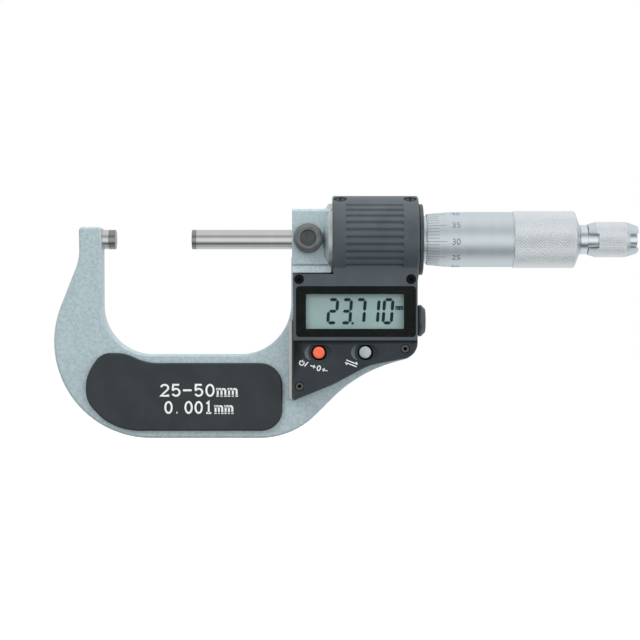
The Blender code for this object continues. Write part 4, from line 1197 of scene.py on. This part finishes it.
def make_ratchet():
    low, high = span("ratchet_stub")
    corners = [
        (152.8, 1.7), (152.8, 3.85), (154.12, 3.85), (154.12, 4.9, 0.25),
        (156.7, 4.9, 0.25), (156.7, 4.1), (high.x, 4.1, 0.2), (high.x, 1.7),
    ]
    neck = turned("ratchet_neck", corners)
    dress(neck, "bright_chrome", "spindle_body", "satin_chrome", "ratchet_stub")
    low, high = span("ratchet_screw")
    corners = [(low.x, 0), (low.x, 1.5), (169.6, 1.5), (169.6, 3.5), (high.x, 3.5, 0.35), (high.x, 0)]
    screw = turned("ratchet_screw_machined", corners)
    dress(screw, "bright_chrome", "spindle_body", "satin_chrome", "ratchet_screw")
    knurl = Knurl(159.6, 169.3, RATCHET_RADIUS, 34, 1.0, 0.13)
    corners = [
        (156.9, 4.3),
        (156.9, 5.1, 0.12),
        (159.2, 5.75, 1.0),
        *knurl.corners(),
        (169.8, 5.78, 0.6), (173.5, 4.55, 0.25), (173.5, 3.7), (169.4, 3.7), (169.4, 1.8),
        (167.3, 1.8), (167.3, 4.3),
    ]
    knob = turned("ratchet_knob_turned", corners, relief=knurl)
    notches = [
        block("left_notch", (156.0, -8.0, -2.5), (160.2, 8.0, 2.5)),
        block("right_notch", (170.4, -8.0, -2.35), (175.0, 8.0, 2.35)),
    ]
    for notch in notches:
        notch.data.transform(Matrix.Rotation(math.radians(NOTCH_TURN), 4, "X"))
    cut(knob, *notches)
    dress(knob, "satin_chrome", "ratchet_body", "satin_chrome", "ratchet_knob", sharp=20.0)
    # painted light: the knurl gets the brighter copy of the chrome
    also(knob, "knurl_lit_chrome", lambda spot, normal: 159.5 < spot.x < 169.5)


# ---- inner pieces, in their CAD shape

INNER = {
    "ground_steel": (
        "inner_sleeve",
        "adjusting_nut",
        "rotor_key",
        "battery_cell",
        "ratchet_clutch",
        "ratchet_spring",
    ),
    "brass": ("spindle_bush", "lock_pad", "encoder_ribbon", "battery_contact"),
    "board": ("encoder_rotor", "encoder_stator", "circuit_board"),
    "chip": ("control_chip",),
    "rubber": ("zebra_strip_upper", "zebra_strip_lower"),
    "screw_steel": ("power_key_switch", "unit_key_switch"),
    "cap_plastic": ("battery_holder",),
}


def finish_inner_pieces():
    for look, nodes in INNER.items():
        for node in nodes:
            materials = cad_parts[node].data.materials
            materials.clear()
            materials.append(LOOKS[look])


# ---- studio

FLOOR = 2500  # half a side
FLOOR_Z = -100
OBJECT_MIDDLE = (70, 0, -20)


def make_room():
    """Plain white for the camera; wide soft boxes and a dark card in front for the metal."""
    bands = [  # degrees above straight in front, going over the top, and brightness there
        (-180, 0.75), (-125, 0.80), (-88, 0.76), (-78, 0.62), (-68, 0.38),
        (-58, 0.16), (-46, 0.16), (-38, 0.36), (-28, 0.72), (-18, 0.97),
        (-4, 1.00), (8, 0.86), (18, 0.72), (26, 0.50), (32, 0.40),
        (42, 0.42), (50, 0.66), (60, 0.82), (120, 0.80), (180, 0.75),
    ]
    world = bpy.data.worlds.new("studio")
    scene.world = world
    world.use_nodes = True
    tree = world.node_tree
    tree.nodes.clear()
    direction = add_node(tree, "TexCoord", {}).outputs["Generated"]
    parts = add_node(tree, "SeparateXYZ", {"Vector": direction}).outputs
    forward = add_node(tree, "Math", {0: parts["Y"], 1: -1.0})
    forward.operation = "MULTIPLY"
    angle = add_node(tree, "Math", {0: parts["Z"], 1: forward.outputs[0]})
    angle.operation = "ARCTAN2"
    turn = {"From Min": -math.pi, "From Max": math.pi, "Value": angle.outputs[0]}
    share = add_node(tree, "MapRange", turn)
    ramp = add_node(tree, "ValToRGB", {"Fac": share.outputs["Result"]})
    stops = ramp.color_ramp.elements
    while len(stops) < len(bands):
        stops.new(0.5)
    for stop, (degrees, light) in zip(stops, bands):
        stop.position = (degrees + 180) / 360
        stop.color = (light * 0.97, light, light * 1.02, 1.0)
    light = add_node(tree, "Background", {"Color": ramp.outputs["Color"]}).outputs[0]
    paper = add_node(tree, "Background", {"Color": (1.0, 1.0, 1.0, 1.0)}).outputs[0]
    seen = add_node(tree, "LightPath", {}).outputs["Is Camera Ray"]
    choice = add_node(tree, "MixShader", {"Fac": seen, 1: light, 2: paper})
    add_node(tree, "OutputWorld", {"Surface": choice.outputs[0]})


def make_floor():
    """A plain pale floor below the object, which a stand would hold up."""
    corners = [(-FLOOR, -FLOOR, 0), (FLOOR, -FLOOR, 0), (FLOOR, FLOOR, 0), (-FLOOR, FLOOR, 0)]
    mesh = mesh_from("floor", corners, [[0, 1, 2, 3]])
    floor = new_object("floor", mesh)
    floor.location.z = FLOOR_Z * MM
    material, tree, shader, place = new_look("pale_floor", 0.8, specular=0.1)
    inputs = {
        "Base Color": colour_between(tree, noise(tree, place, 40.0), (0.92,) * 3, (0.90,) * 3),
        "Emission Color": (1.0, 1.0, 1.0, 1.0),
        "Emission Strength": 0.35,
    }
    fill(tree, shader, inputs)
    mesh.materials.append(material)
    floor.visible_glossy = False
    floor.visible_diffuse = False


def add_light(name, place, size, power):
    """A square soft light that looks at the object and leaves no spot of its own on the metal."""
    data = bpy.data.lights.new(name, "AREA")
    data.shape = "SQUARE"
    data.size = size * MM
    data.energy = power
    lamp = new_object(name, data)
    lamp.visible_glossy = False
    lamp.location = Vector(place) * MM
    aim = (Vector(OBJECT_MIDDLE) - Vector(place)).normalized()
    lamp.rotation_euler = aim.to_track_quat("-Z", "Y").to_euler()


def make_camera():
    data = bpy.data.cameras.new("camera")
    camera = new_object("camera", data)
    camera.location = Vector((67.9, -580.0, -26.8)) * MM
    camera.rotation_euler = (math.radians(90), 0.0, 0.0)
    data.sensor_width = 36.0
    data.lens = 97.9
    data.clip_start = 0.01
    data.clip_end = 20.0
    bpy.context.scene.camera = camera


make_frame()
make_anvil()
make_grips()
make_housing()
make_screws()
make_display()
make_buttons()
make_battery_cap()
make_lock()
make_spindle()
make_sleeve()
make_thimble()
make_ratchet()
finish_inner_pieces()
make_room()
make_floor()
add_light("key", (-260, -420, 330), 260, 1.2)
add_light("fill", (420, -330, 120), 300, 0.75)
add_light("side", (640, -150, 40), 300, 1.3)
add_light("top", (80, -60, 480), 420, 2.0)
make_camera()
scene.view_settings.view_transform = "Standard"
